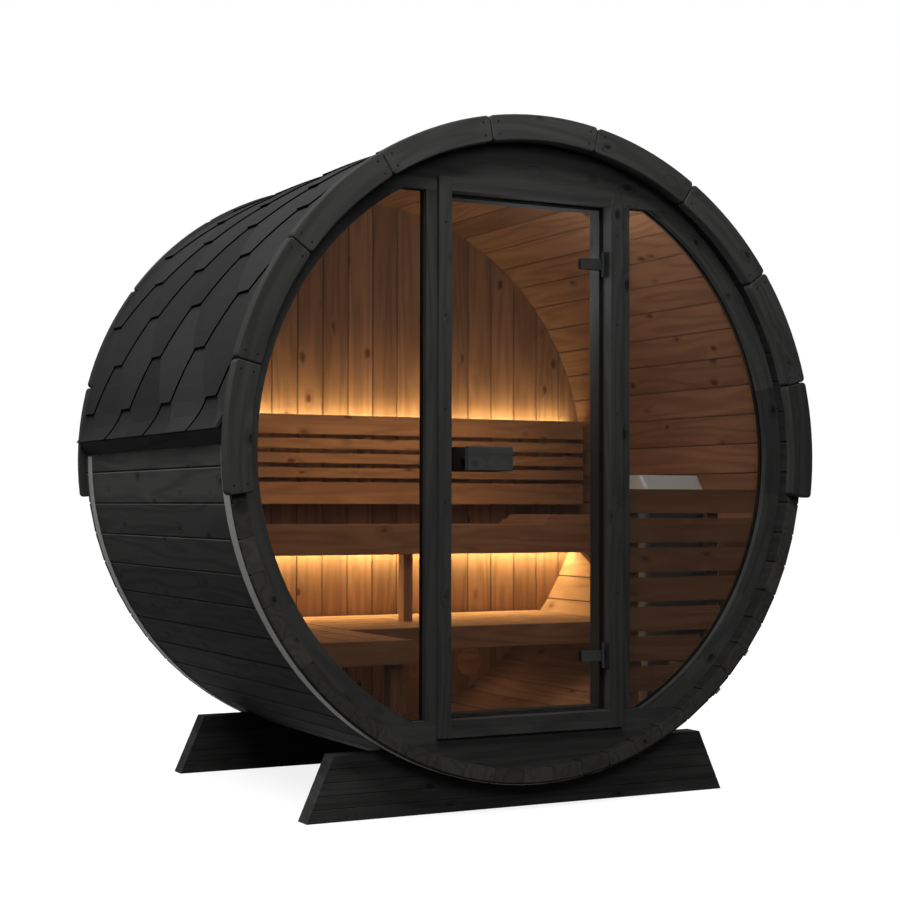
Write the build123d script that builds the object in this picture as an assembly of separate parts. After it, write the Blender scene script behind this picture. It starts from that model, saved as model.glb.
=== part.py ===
from build123d import *
import math
import os

# Barrel sauna: a lying barrel of staves on two cradles, glazed front wall with a glass door.
# X runs across the front, the front faces -Y, Z is up from the ground under the barrel's middle.

# Barrel of staves
STAVE_COUNT = 60
STAVE_GROUPS = 6
BARREL_RADIUS = 1000
STAVE_THICKNESS = 45
STAVE_LENGTH = 1384
GROUND_CLEARANCE = 76
STAVE_GAP = 0.4
STAVE_OUTER_CHAMFER = 4
STAVE_INNER_CHAMFER = 3
BEAD_HALF_WIDTH = 10
BEAD_RISE = 4
CUT_OVERRUN = 20
SEAT_GAP = 0.4
FAN_SHARES = (-1, -0.5, 0, 0.5, 1)

# End walls in their croze grooves
WALL_RECESS = 50
WALL_THICKNESS = 42
CROZE_DEPTH = 10
REAR_BOARD_WIDTH = 100
REAR_BOARD_CHAMFER = 4

# Trim ring of boards round each end
TRIM_SEGMENTS = 9
TRIM_SEGMENT_ANGLE = 21.71
TRIM_LAP = 58
TRIM_OVERHANG = 21
TRIM_THICKNESS = 36
TRIM_JOINT_GAP = 1.8
TRIM_CORNER_RADIUS = 13
TRIM_EDGE_RADIUS = 5

# Steel hoops
HOOP_WIDTH = 45
HOOP_THICKNESS = 1.6
HOOP_FRONT_SET = 8
HOOP_REAR_SET = 28
HOOP_END_ANGLE = 89.8
TENSION_ANGLE = 133.5
LUG_HALF_ANGLE = 4.6
LUG_LENGTH = 22
LUG_WIDTH = 26
LUG_HEIGHT = 16
ROD_HEIGHT = 10
ROD_RADIUS = 4
ROD_END = 26
NUT_RADIUS = 8
NUT_LENGTH = 8

# Roof covering and the drip battens that kick its lower edges out
ROOF_THICKNESS = 7
ROOF_ARC_ANGLE = 82
EAVE_ANGLE = 87.2
EAVE_KICK = 28
EAVE_FOOT_ANGLE = 89.4
ROOF_SPLIT_ANGLE = 28
BATTEN_HEAD_SHARE = 0.125

# Front wall, its windows and the door frame
HEAD_HEIGHT = 173.6
FOOT_HEIGHT = 155.6
STILE_WIDTH = 35
RIM_WIDTH = 60.6
RIM_SEGMENTS = 3
RIM_JOINT_GAP = 0.6
GLASS_THICKNESS = 8
GLASS_LAP = 8
GLASS_SLOT_PLAY = 0.5
WINDOW_GLASS_SET = 20
FRAME_HALF_WIDTH = 325
FRAME_FACE_WIDTH = 43
FRAME_SILL_HEIGHT = 52
FRAME_PROUD = 16
FRAME_DEPTH = 106
STOP_WIDTH = 12
STOP_SET = 52

# Glass door, its hinges and its handle
DOOR_GLASS_SET = 37
DOOR_PLAY = 5.5
HINGE_TOP_DROP = 184
HINGE_BOTTOM_RISE = 169
HINGE_INSET = 12
HINGE_FORE = 8
KNUCKLE_RADIUS = 6
KNUCKLE_LENGTH = 34
PIN_RADIUS = 3
PIN_PLAY = 0.3
KNUCKLE_PLAY = 0.6
BRACKET_HEIGHT = 78
BRACKET_WIDTH = 30
BRACKET_THICKNESS = 3
CLAMP_LENGTH = 75
CLAMP_HEIGHT = 34
CLAMP_THICKNESS = 7
CLAMP_CORNER_RADIUS = 6
CLAMP_BOLT_RADIUS = 5
CLAMP_BOLT_INSET = 22
HANDLE_INSET = 41.5
HANDLE_LENGTH = 152
HANDLE_HEIGHT = 75
HANDLE_DROP = 21
HANDLE_THICKNESS = 30
HANDLE_STANDOFF = 30
HANDLE_BOLT_RADIUS = 7
HANDLE_BOLT_INSET = 30
HANDLE_EDGE_RADIUS = 4
BOLT_HOLE_PLAY = 1

# Cradles
CRADLE_BOTTOM_WIDTH = 1454
CRADLE_END_SLOPE = 84
CRADLE_HEIGHT = 190
CRADLE_BOARDS = 5
CRADLE_GROOVE = 3
CRADLE_THICKNESS = 65
CRADLE_FRONT_SET = 75
CRADLE_REAR_SET = 155

# Benches and backrest
BOARD_THICKNESS = 28
BOARD_GAP = 10
END_PLAY = 8
BEARER_WIDTH = 40
BEARER_HEIGHT = 44
UPPER_SEAT_RISE = 722.6
UPPER_SEAT_SET = 864
UPPER_FASCIA_HEIGHT = 100
UPPER_BOARDS = 4
LOWER_SEAT_RISE = 389.6
LOWER_SEAT_SET = 597
LOWER_FASCIA_HEIGHT = 72
LOWER_BOARDS = 6
LEFT_SEAT_SET = 134
LEFT_SEAT_OFFSET = 360
LEFT_BOARDS = 4
POST_WIDTH = 34
POST_DEPTH = 42
LEG_WIDTH = 42
LEG_INSET = 18
GUSSET_LENGTH = 195
BACKREST_DEPTH = 88
BACKREST_RISE = 74
BACKREST_END_PLAY = 32
BACKREST_THICKNESS = 22
BACKREST_GAP = 16
BACKREST_BOTTOM_BOARD = 78
BACKREST_SLAT = 36
BACKREST_SLATS = 3
BACKREST_TOP_BOARD = 69
UPRIGHT_WIDTH = 26
UPRIGHT_INSET = 58
HEADREST_LENGTH = 387
HEADREST_TIER = 18
HEADREST_STEP = 30
STRIP_WIDTH = 16
STRIP_HEIGHT = 10

# Heater behind its slatted guard
GUARD_SET = 114
GUARD_RISE = 845.6
GUARD_SHORTEST_SLAT = 240
GUARD_SLAT_HEIGHT = 77
GUARD_PITCH = 94.5
GUARD_SLAT_THICKNESS = 22
GUARD_END_PLAY = 14
GUARD_POST_WIDTH = 42
GUARD_POST_DEPTH = 22
GUARD_POST_INSET = 83
SHIELD_GAP = 24
SHIELD_THICKNESS = 2
SHIELD_DROP = 40
HEATER_WALL_PLAY = 6
HEATER_WIDTH = 232
HEATER_SET = 172
HEATER_DEPTH = 300
HEATER_HEIGHT = 485
HEATER_DROP = 3
HEATER_SHEET = 3
HEATER_CORNER_RADIUS = 14
HOPPER_HEIGHT = 50
HOPPER_LEAN = 38
STONE_DEPTH = 130
STONE_DROP = 6
HEATER_FOOT_WIDTH = 36
HEATER_FOOT_INSET = 6

# Round louvred vent through the rear wall
VENT_CENTRE_RISE = 202.8
VENT_STAVE_DISTANCE = 138.8
VENT_RADIUS = 50
VENT_RIM = 7
VENT_RISE = 10
VENT_SPIGOT_RADIUS = 40
VENT_SPIGOT_LENGTH = 20
VENT_LOUVRES = 9
VENT_LOUVRE_THICKNESS = 2.5

# Places worked out from the sizes above
STAVE_HALF_ANGLE = 180 / STAVE_COUNT
STAVE_SLOPE = math.tan(math.radians(STAVE_HALF_ANGLE))
OUTER_FLAT = BARREL_RADIUS * math.cos(math.radians(STAVE_HALF_ANGLE))
INNER_FLAT = OUTER_FLAT - STAVE_THICKNESS
AXIS_HEIGHT = BARREL_RADIUS + GROUND_CLEARANCE
FLOOR_HEIGHT = AXIS_HEIGHT - INNER_FLAT
STAVE_FRONT = -STAVE_LENGTH / 2
STAVE_REAR = STAVE_LENGTH / 2
TRIM_INNER_RADIUS = BARREL_RADIUS - TRIM_LAP
TRIM_OUTER_RADIUS = BARREL_RADIUS + TRIM_OVERHANG
WALL_RADIUS = INNER_FLAT + CROZE_DEPTH - SEAT_GAP
FRONT_WALL_FACE = STAVE_FRONT + WALL_RECESS
REAR_WALL_BACK = STAVE_REAR - WALL_RECESS
REAR_WALL_FACE = REAR_WALL_BACK - WALL_THICKNESS
OPENING_BOTTOM = FLOOR_HEIGHT + FOOT_HEIGHT
OPENING_TOP = AXIS_HEIGHT + INNER_FLAT - HEAD_HEIGHT
WINDOW_EDGE = FRAME_HALF_WIDTH + STILE_WIDTH
WINDOW_RADIUS = INNER_FLAT - RIM_WIDTH
FRAME_FACE = FRONT_WALL_FACE - FRAME_PROUD
FRAME_INNER = FRAME_HALF_WIDTH - FRAME_FACE_WIDTH
FRAME_TOP = OPENING_TOP + FRAME_FACE_WIDTH
FRAME_BOTTOM = OPENING_BOTTOM - FRAME_SILL_HEIGHT
DOOR_FACE = FRAME_FACE + DOOR_GLASS_SET
DOOR_BACK = DOOR_FACE + GLASS_THICKNESS
HINGE_X = FRAME_INNER - HINGE_INSET
HINGE_Y = DOOR_FACE - HINGE_FORE
HINGE_HEIGHTS = (OPENING_BOTTOM + HINGE_BOTTOM_RISE, OPENING_TOP - HINGE_TOP_DROP)
DOOR_HALF_WIDTH = FRAME_INNER - DOOR_PLAY
HANDLE_LEFT = HANDLE_INSET - DOOR_HALF_WIDTH
HANDLE_CENTRE_HEIGHT = AXIS_HEIGHT - HANDLE_DROP
UPPER_SEAT_HEIGHT = FLOOR_HEIGHT + UPPER_SEAT_RISE
LOWER_SEAT_HEIGHT = FLOOR_HEIGHT + LOWER_SEAT_RISE
BACKREST_FACE = REAR_WALL_FACE - BACKREST_DEPTH
BACKREST_BOTTOM = UPPER_SEAT_HEIGHT + BACKREST_RISE
GUARD_TOP = FLOOR_HEIGHT + GUARD_RISE
GUARD_BACK = STAVE_FRONT + GUARD_SET + GUARD_SLAT_THICKNESS
HEATER_TOP = GUARD_TOP - HEATER_DROP
HEATER_BOTTOM = HEATER_TOP - HEATER_HEIGHT
HEATER_FRONT = STAVE_FRONT + HEATER_SET
HEATER_BACK = HEATER_FRONT + HEATER_DEPTH
SEAT_RADIUS = INNER_FLAT - SEAT_GAP
ROOF_INNER_RADIUS = BARREL_RADIUS + SEAT_GAP
ROOF_OUTER_RADIUS = ROOF_INNER_RADIUS + ROOF_THICKNESS


def bar(x0, x1, y0, y1, z0, z1):
    """A straight piece of timber between two corners."""
    middle = Pos((x0 + x1) / 2, (y0 + y1) / 2, (z0 + z1) / 2)
    return middle * Box(x1 - x0, y1 - y0, z1 - z0)


def slab(face, front, depth):
    """A face drawn across the barrel, with heights from the ground, made a plate from front to back."""
    return Pos(0, front + depth, 0) * Rot(90, 0, 0) * extrude(face, depth)


def at_axis(face):
    """A face drawn round the barrel's axis, lifted to the axis height."""
    return Pos(0, AXIS_HEIGHT) * face


def polar(radius, angle):
    """A point round the axis, with the angle measured from the top towards +X."""
    turn = math.radians(angle)
    return (radius * math.sin(turn), radius * math.cos(turn))


def window(x0, x1, z0, z1):
    """A rectangle drawn across the barrel, with heights from the ground."""
    return Pos((x0 + x1) / 2, (z0 + z1) / 2) * Rectangle(x1 - x0, z1 - z0)


def half_width(height, radius):
    """Half the width of the round room at a height."""
    return math.sqrt(radius ** 2 - (height - AXIS_HEIGHT) ** 2)


def heater_right():
    """Right side of the heater, as near to the staves as its lower edge allows."""
    return half_width(HEATER_BOTTOM, INNER_FLAT) - HEATER_WALL_PLAY


def room(radius):
    """The round room as one long cylinder, to trim what seats on the staves."""
    return slab(at_axis(Circle(radius)), STAVE_FRONT, STAVE_LENGTH)


def wedge(angle, reach):
    """A fan from the axis, centred on the top, to cut ring pieces to length."""
    rim = [polar(reach, angle * share) for share in FAN_SHARES]
    return make_face(Polyline((0, 0), *rim, close=True))


def save(name, pieces):
    """Write one node from its solids."""
    solids = [solid for piece in pieces for solid in piece.solids()]
    export_step(Compound(children=solids) if len(solids) > 1 else solids[0], f"parts/{name}.step")


def stave_section():
    """The top stave's section: flat faces, sides with a bead and a cove, and eased corners."""
    def side(height):
        return height * STAVE_SLOPE - STAVE_GAP / 2

    middle = (OUTER_FLAT + INNER_FLAT) / 2
    upper = middle + BEAD_HALF_WIDTH
    lower = middle - BEAD_HALF_WIDTH
    top = OUTER_FLAT - STAVE_OUTER_CHAMFER
    foot = INNER_FLAT + STAVE_INNER_CHAMFER
    crown = side(OUTER_FLAT) - STAVE_OUTER_CHAMFER
    belly = side(INNER_FLAT) - STAVE_INNER_CHAMFER
    outline = Curve() + [
        Polyline((-side(upper), upper), (-side(top), top), (-crown, OUTER_FLAT),
                 (crown, OUTER_FLAT), (side(top), top), (side(upper), upper)),
        ThreePointArc((side(upper), upper), (side(middle) + BEAD_RISE, middle), (side(lower), lower)),
        Polyline((side(lower), lower), (side(foot), foot), (belly, INNER_FLAT),
                 (-belly, INNER_FLAT), (-side(foot), foot), (-side(lower), lower)),
        ThreePointArc((-side(lower), lower), (-side(middle) + BEAD_RISE, middle), (-side(upper), upper)),
    ]
    return make_face(outline)


def top_stave():
    """One stave at the top of the barrel, round the axis, with its two croze grooves."""
    stave = slab(stave_section(), STAVE_FRONT, STAVE_LENGTH)
    reach = BARREL_RADIUS * STAVE_SLOPE + CUT_OVERRUN
    for front in (FRONT_WALL_FACE, REAR_WALL_FACE):
        stave -= bar(-reach, reach, front - SEAT_GAP, front + WALL_THICKNESS + SEAT_GAP,
                     INNER_FLAT - CUT_OVERRUN, INNER_FLAT + CROZE_DEPTH)
    return stave


def staves():
    """All staves, in groups round the barrel."""
    stave = top_stave()
    step = 360 / STAVE_COUNT
    group = STAVE_COUNT // STAVE_GROUPS
    for first in range(STAVE_GROUPS):
        pieces = []
        for place in range(first * group, (first + 1) * group):
            pieces.append(Pos(0, 0, AXIS_HEIGHT) * Rot(0, place * step, 0) * stave)
        save(f"staves_{first + 1}", pieces)


def trim_segment():
    """One board of the trim ring, centred on the top, with round corners and eased front edges."""
    ring = Circle(TRIM_OUTER_RADIUS) - Circle(TRIM_INNER_RADIUS)
    gap_angle = math.degrees(TRIM_JOINT_GAP / TRIM_OUTER_RADIUS)
    board = ring & wedge((TRIM_SEGMENT_ANGLE - gap_angle) / 2, BARREL_RADIUS * 2)
    board = fillet(board.vertices(), TRIM_CORNER_RADIUS)
    solid = slab(board, 0, TRIM_THICKNESS)
    front = solid.faces().sort_by(Axis.Y)[0]
    return fillet(front.edges(), TRIM_EDGE_RADIUS)


def trims():
    """The front and the rear trim ring; the rear one is the front one turned about the middle."""
    board = Pos(0, STAVE_FRONT - TRIM_THICKNESS, AXIS_HEIGHT) * trim_segment()
    first = -(TRIM_SEGMENTS - 1) / 2
    front = []
    for place in range(TRIM_SEGMENTS):
        turn = Pos(0, 0, AXIS_HEIGHT) * Rot(0, (first + place) * TRIM_SEGMENT_ANGLE, 0)
        front.append(turn * Pos(0, 0, -AXIS_HEIGHT) * board)
    save("front_trim", front)
    save("rear_trim", [Rot(0, 0, 180) * piece for piece in front])


def hoop(front):
    """A flat steel hoop round the lower half, drawn tight by a rod between two lugs on the right."""
    inner = BARREL_RADIUS + SEAT_GAP
    ring = Circle(inner + HOOP_THICKNESS) - Circle(inner)
    band = slab(ring - wedge(HOOP_END_ANGLE, BARREL_RADIUS * 2), 0, HOOP_WIDTH)
    lug = bar(-LUG_LENGTH / 2, LUG_LENGTH / 2, HOOP_WIDTH / 2 - LUG_WIDTH / 2,
              HOOP_WIDTH / 2 + LUG_WIDTH / 2, inner + HOOP_THICKNESS / 2, inner + LUG_HEIGHT)
    x, z = polar(inner + ROD_HEIGHT, LUG_HALF_ANGLE)
    tension = Pos(0, HOOP_WIDTH / 2, z) * Rot(0, 90, 0) * Cylinder(ROD_RADIUS, 2 * (x + ROD_END))
    for side in (-1, 1):
        tension += Rot(0, side * LUG_HALF_ANGLE, 0) * lug
        nut = extrude(RegularPolygon(NUT_RADIUS, 6), NUT_LENGTH / 2, both=True)
        place = side * (x + (LUG_LENGTH + NUT_LENGTH) / 2)
        tension += Pos(place, HOOP_WIDTH / 2, z) * Rot(0, 90, 0) * nut
    return Pos(0, front, AXIS_HEIGHT) * (band + Rot(0, TENSION_ANGLE, 0) * tension)


def roof_section(inner_radius, outer_radius):
    """Half of the roof's section on the +X side: an arc, then a straight kick out to the eave."""
    middle = ROOF_ARC_ANGLE / 2
    outline = Curve() + [
        ThreePointArc((0, outer_radius), polar(outer_radius, middle), polar(outer_radius, ROOF_ARC_ANGLE)),
        Polyline(polar(outer_radius, ROOF_ARC_ANGLE), polar(outer_radius + EAVE_KICK, EAVE_ANGLE),
                 polar(inner_radius + EAVE_KICK, EAVE_ANGLE), polar(inner_radius, ROOF_ARC_ANGLE)),
        ThreePointArc(polar(inner_radius, ROOF_ARC_ANGLE), polar(inner_radius, middle), (0, inner_radius)),
        Line((0, inner_radius), (0, outer_radius)),
    ]
    return make_face(outline)


def roof():
    """Roof covering in three sheets, and the drip battens under its lower edges."""
    right = roof_section(ROOF_INNER_RADIUS, ROOF_OUTER_RADIUS)
    crown = wedge(ROOF_SPLIT_ANGLE, BARREL_RADIUS * 2)
    side = at_axis(right - crown)
    save("roof_right", [slab(side, STAVE_FRONT, STAVE_LENGTH)])
    save("roof_left", [slab(mirror(side, Plane.YZ), STAVE_FRONT, STAVE_LENGTH)])
    ring = Circle(ROOF_OUTER_RADIUS) - Circle(ROOF_INNER_RADIUS)
    save("roof_top", [slab(at_axis(ring & crown), STAVE_FRONT, STAVE_LENGTH)])
    foot = polar(ROOF_INNER_RADIUS, EAVE_FOOT_ANGLE)
    nose = polar(ROOF_INNER_RADIUS + EAVE_KICK - SEAT_GAP, EAVE_ANGLE)
    head = polar(ROOF_INNER_RADIUS, ROOF_ARC_ANGLE + (EAVE_ANGLE - ROOF_ARC_ANGLE) * BATTEN_HEAD_SHARE)
    batten = at_axis(make_face(Polyline(head, nose, foot, close=True)) - Circle(ROOF_INNER_RADIUS))
    save("eave_battens", [slab(batten, STAVE_FRONT, STAVE_LENGTH),
                          slab(mirror(batten, Plane.YZ), STAVE_FRONT, STAVE_LENGTH)])


def glass_face(lap):
    """Outline of the +X window, widened by a lap on every side."""
    tall = window(WINDOW_EDGE - lap, BARREL_RADIUS, OPENING_BOTTOM - lap, OPENING_TOP + lap)
    return tall & at_axis(Circle(WINDOW_RADIUS + lap))


def front_wall():
    """Front wall: head and foot panels, round window rims, stiles and the two fixed panes."""
    slot = slab(glass_face(GLASS_LAP + GLASS_SLOT_PLAY), FRONT_WALL_FACE + WINDOW_GLASS_SET,
                GLASS_THICKNESS + GLASS_SLOT_PLAY)
    slots = slot + mirror(slot, Plane.YZ)
    disc = at_axis(Circle(WALL_RADIUS))
    doorway = window(-FRAME_HALF_WIDTH, FRAME_HALF_WIDTH, FRAME_BOTTOM, FRAME_TOP)
    reach = BARREL_RADIUS * 2
    head = (disc & window(-reach, reach, OPENING_TOP, reach * 2)) - doorway
    foot = (disc & window(-reach, reach, -reach, OPENING_BOTTOM)) - doorway
    save("front_wall_head", [slab(head, FRONT_WALL_FACE, WALL_THICKNESS) - slots])
    save("front_wall_foot", [slab(foot, FRONT_WALL_FACE, WALL_THICKNESS) - slots])
    stile = slab(window(FRAME_HALF_WIDTH, WINDOW_EDGE, OPENING_BOTTOM, OPENING_TOP),
                 FRONT_WALL_FACE, WALL_THICKNESS) - slots
    save("window_stile_right", [stile])
    save("window_stile_left", [mirror(stile, Plane.YZ)])
    ring = disc - at_axis(Circle(WINDOW_RADIUS))
    ring &= window(WINDOW_EDGE, reach, OPENING_BOTTOM, OPENING_TOP)
    top_angle = math.degrees(math.acos((OPENING_TOP - AXIS_HEIGHT) / WALL_RADIUS))
    foot_angle = 180 - math.degrees(math.acos((AXIS_HEIGHT - OPENING_BOTTOM) / WALL_RADIUS))
    rim = slab(ring, FRONT_WALL_FACE, WALL_THICKNESS) - slots
    for place in range(1, RIM_SEGMENTS):
        angle = top_angle + (foot_angle - top_angle) * place / RIM_SEGMENTS
        saw = bar(-RIM_JOINT_GAP / 2, RIM_JOINT_GAP / 2, STAVE_FRONT, STAVE_REAR, 0, reach)
        rim -= Pos(0, 0, AXIS_HEIGHT) * Rot(0, angle, 0) * saw
    save("window_rim_right", [rim])
    save("window_rim_left", [mirror(rim, Plane.YZ)])
    pane = slab(glass_face(GLASS_LAP), FRONT_WALL_FACE + WINDOW_GLASS_SET, GLASS_THICKNESS)
    save("window_glass_right", [pane])
    save("window_glass_left", [mirror(pane, Plane.YZ)])


def door_frame():
    """Rebated door frame, deeper than the wall, with stops behind the door."""
    back = FRAME_FACE + FRAME_DEPTH
    stop_face = FRAME_FACE + STOP_SET
    stop = FRAME_INNER - STOP_WIDTH
    jamb = bar(FRAME_INNER, FRAME_HALF_WIDTH, FRAME_FACE, back, FRAME_BOTTOM, FRAME_TOP)
    jamb += bar(stop, FRAME_INNER, stop_face, back, OPENING_BOTTOM, OPENING_TOP)
    save("door_jamb_right", [jamb])
    save("door_jamb_left", [mirror(jamb, Plane.YZ)])
    head = bar(-FRAME_INNER, FRAME_INNER, FRAME_FACE, back, OPENING_TOP, FRAME_TOP)
    head += bar(-stop, stop, stop_face, back, OPENING_TOP - STOP_WIDTH, OPENING_TOP)
    save("door_head", [head])
    sill = bar(-FRAME_INNER, FRAME_INNER, FRAME_FACE, back, FRAME_BOTTOM, OPENING_BOTTOM)
    sill += bar(-stop, stop, stop_face, back, OPENING_BOTTOM, OPENING_BOTTOM + STOP_WIDTH)
    save("door_sill", [sill])


def hinge_bracket(height):
    """Jamb side of a hinge: plate, two knuckles and the pin between them."""
    plate = bar(FRAME_INNER - BRACKET_THICKNESS, FRAME_INNER, HINGE_Y - BRACKET_WIDTH / 2,
                HINGE_Y + BRACKET_WIDTH / 2, height - BRACKET_HEIGHT / 2, height + BRACKET_HEIGHT / 2)
    pin = Pos(HINGE_X, HINGE_Y, height) * Cylinder(PIN_RADIUS, BRACKET_HEIGHT)
    bracket = plate + pin
    knuckle = (BRACKET_HEIGHT - KNUCKLE_LENGTH) / 2 - KNUCKLE_PLAY
    for side in (-1, 1):
        middle = height + side * (BRACKET_HEIGHT - knuckle) / 2
        bracket += Pos(HINGE_X, HINGE_Y, middle) * Cylinder(KNUCKLE_RADIUS, knuckle)
        bracket += bar(HINGE_X, FRAME_INNER - BRACKET_THICKNESS / 2, HINGE_Y - PIN_RADIUS,
                       HINGE_Y + PIN_RADIUS, middle - knuckle / 2, middle + knuckle / 2)
    return bracket


def hinge_clamp(height):
    """Door side of a hinge: a plate on each face of the glass, bolted through, and its knuckle."""
    right = HINGE_X - PIN_RADIUS
    left = right - CLAMP_LENGTH
    face = window(left, right, height - CLAMP_HEIGHT / 2, height + CLAMP_HEIGHT / 2)
    face = fillet(face.vertices().group_by(Axis.X)[0], CLAMP_CORNER_RADIUS)
    clamp = slab(face, DOOR_FACE - CLAMP_THICKNESS, CLAMP_THICKNESS)
    clamp += slab(face, DOOR_BACK, CLAMP_THICKNESS)
    for x in clamp_bolts():
        clamp += slab(Pos(x, height) * Circle(CLAMP_BOLT_RADIUS), DOOR_FACE, GLASS_THICKNESS)
    clamp += Pos(HINGE_X, HINGE_Y, height) * Cylinder(KNUCKLE_RADIUS, KNUCKLE_LENGTH)
    return clamp - Pos(HINGE_X, HINGE_Y, height) * Cylinder(PIN_RADIUS + PIN_PLAY, BRACKET_HEIGHT)


def clamp_bolts():
    """Places across the door of a clamp's two bolts."""
    right = HINGE_X - PIN_RADIUS
    return (right - CLAMP_LENGTH + CLAMP_BOLT_INSET, right - CLAMP_BOLT_INSET)


def handle_bolts():
    """Places across the door of the handle's two bolts."""
    return (HANDLE_LEFT + HANDLE_BOLT_INSET, HANDLE_LEFT + HANDLE_LENGTH - HANDLE_BOLT_INSET)


def door():
    """Glass door leaf with its bolt holes, the hinge clamps and the wooden pull on both faces."""
    face = window(-DOOR_HALF_WIDTH, DOOR_HALF_WIDTH, OPENING_BOTTOM + DOOR_PLAY, OPENING_TOP - DOOR_PLAY)
    for height in HINGE_HEIGHTS:
        for x in clamp_bolts():
            face -= Pos(x, height) * Circle(CLAMP_BOLT_RADIUS + BOLT_HOLE_PLAY)
    for x in handle_bolts():
        face -= Pos(x, HANDLE_CENTRE_HEIGHT) * Circle(HANDLE_BOLT_RADIUS + BOLT_HOLE_PLAY)
    save("door_glass", [slab(face, DOOR_FACE, GLASS_THICKNESS)])
    save("hinge_clamps", [hinge_clamp(height) for height in HINGE_HEIGHTS])
    save("hinge_brackets", [hinge_bracket(height) for height in HINGE_HEIGHTS])
    block = bar(HANDLE_LEFT, HANDLE_LEFT + HANDLE_LENGTH, 0, HANDLE_THICKNESS,
                HANDLE_CENTRE_HEIGHT - HANDLE_HEIGHT / 2, HANDLE_CENTRE_HEIGHT + HANDLE_HEIGHT / 2)
    block = fillet(block.edges(), HANDLE_EDGE_RADIUS)
    handle = Pos(0, DOOR_FACE - HANDLE_STANDOFF - HANDLE_THICKNESS, 0) * block
    handle += Pos(0, DOOR_BACK + HANDLE_STANDOFF, 0) * block
    for x in handle_bolts():
        bolt = Pos(x, HANDLE_CENTRE_HEIGHT) * Circle(HANDLE_BOLT_RADIUS)
        handle += slab(bolt, DOOR_FACE - HANDLE_STANDOFF, 2 * HANDLE_STANDOFF + GLASS_THICKNESS)
    save("door_handle", [handle])


def rear_wall():
    """Rear wall of upright boards with eased joints, and the vent's hole through it."""
    count = math.ceil(WALL_RADIUS / REAR_BOARD_WIDTH - 1 / 2)
    section = Rectangle(REAR_BOARD_WIDTH - STAVE_GAP, WALL_THICKNESS)
    section = chamfer(section.vertices(), REAR_BOARD_CHAMFER)
    middle = (REAR_WALL_FACE + REAR_WALL_BACK) / 2
    board = Pos(0, middle, AXIS_HEIGHT - BARREL_RADIUS) * extrude(section, BARREL_RADIUS * 2)
    disc = slab(at_axis(Circle(WALL_RADIUS)), REAR_WALL_FACE, WALL_THICKNESS)
    hole = slab(Pos(*vent_place()) * Circle(VENT_SPIGOT_RADIUS + SEAT_GAP),
                REAR_WALL_FACE - CUT_OVERRUN, WALL_THICKNESS + 2 * CUT_OVERRUN)
    disc -= hole
    boards = [disc & (Pos(place * REAR_BOARD_WIDTH, 0, 0) * board) for place in range(-count, count + 1)]
    save("rear_wall", boards)


def vent_place():
    """The vent's place across the barrel and its height, low beside the staves."""
    height = FLOOR_HEIGHT + VENT_CENTRE_RISE
    return (half_width(height, INNER_FLAT) - VENT_STAVE_DISTANCE, height)


def vent_cover():
    """One louvred vent cover, its back on the plane y = 0 and its rim towards -Y."""
    rim = Circle(VENT_RADIUS) - Circle(VENT_RADIUS - VENT_RIM)
    cover = slab(rim, -VENT_RISE, VENT_RISE)
    spigot = Circle(VENT_SPIGOT_RADIUS) - Circle(VENT_SPIGOT_RADIUS - VENT_LOUVRE_THICKNESS)
    cover += slab(spigot, -VENT_RISE / 2, VENT_RISE / 2 + VENT_SPIGOT_LENGTH)
    flange = Circle(VENT_RADIUS) - Circle(VENT_SPIGOT_RADIUS - VENT_LOUVRE_THICKNESS)
    cover += slab(flange, -VENT_LOUVRE_THICKNESS, VENT_LOUVRE_THICKNESS)
    inside = VENT_RADIUS - VENT_RIM / 2
    pitch = 2 * inside / (VENT_LOUVRES + 1)
    for place in range(VENT_LOUVRES):
        height = -inside + pitch * (place + 1)
        half = math.sqrt(inside ** 2 - height ** 2)
        cover += bar(-half, half, -VENT_RISE, -VENT_LOUVRE_THICKNESS / 2,
                     height - VENT_LOUVRE_THICKNESS / 2, height + VENT_LOUVRE_THICKNESS / 2)
    return cover


def vent():
    """A vent cover on each face of the rear wall."""
    x, height = vent_place()
    inner = Pos(x, REAR_WALL_FACE, height) * vent_cover()
    outer = Pos(x, REAR_WALL_BACK, height) * Rot(0, 0, 180) * vent_cover()
    save("wall_vent", [inner, outer])


def cradles():
    """Two cradles of glued boards with sloping ends and a round seat for the barrel."""
    foot = CRADLE_BOTTOM_WIDTH / 2
    top = foot - CRADLE_END_SLOPE
    corners = ((-foot, 0), (foot, 0), (top, CRADLE_HEIGHT), (-top, CRADLE_HEIGHT))
    outline = make_face(Polyline(*corners, close=True))
    outline -= at_axis(Circle(BARREL_RADIUS + SEAT_GAP))
    cradle = slab(outline, 0, CRADLE_THICKNESS)
    groove = Rot(45, 0, 0) * Box(CRADLE_BOTTOM_WIDTH, CRADLE_GROOVE, CRADLE_GROOVE)
    for joint in range(1, CRADLE_BOARDS):
        height = CRADLE_HEIGHT * joint / CRADLE_BOARDS
        cradle -= Pos(0, 0, height) * groove
        cradle -= Pos(0, CRADLE_THICKNESS, height) * groove
    save("cradle_front", [Pos(0, STAVE_FRONT + CRADLE_FRONT_SET, 0) * cradle])
    save("cradle_rear", [Pos(0, STAVE_REAR - CRADLE_REAR_SET - CRADLE_THICKNESS, 0) * cradle])


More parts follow.
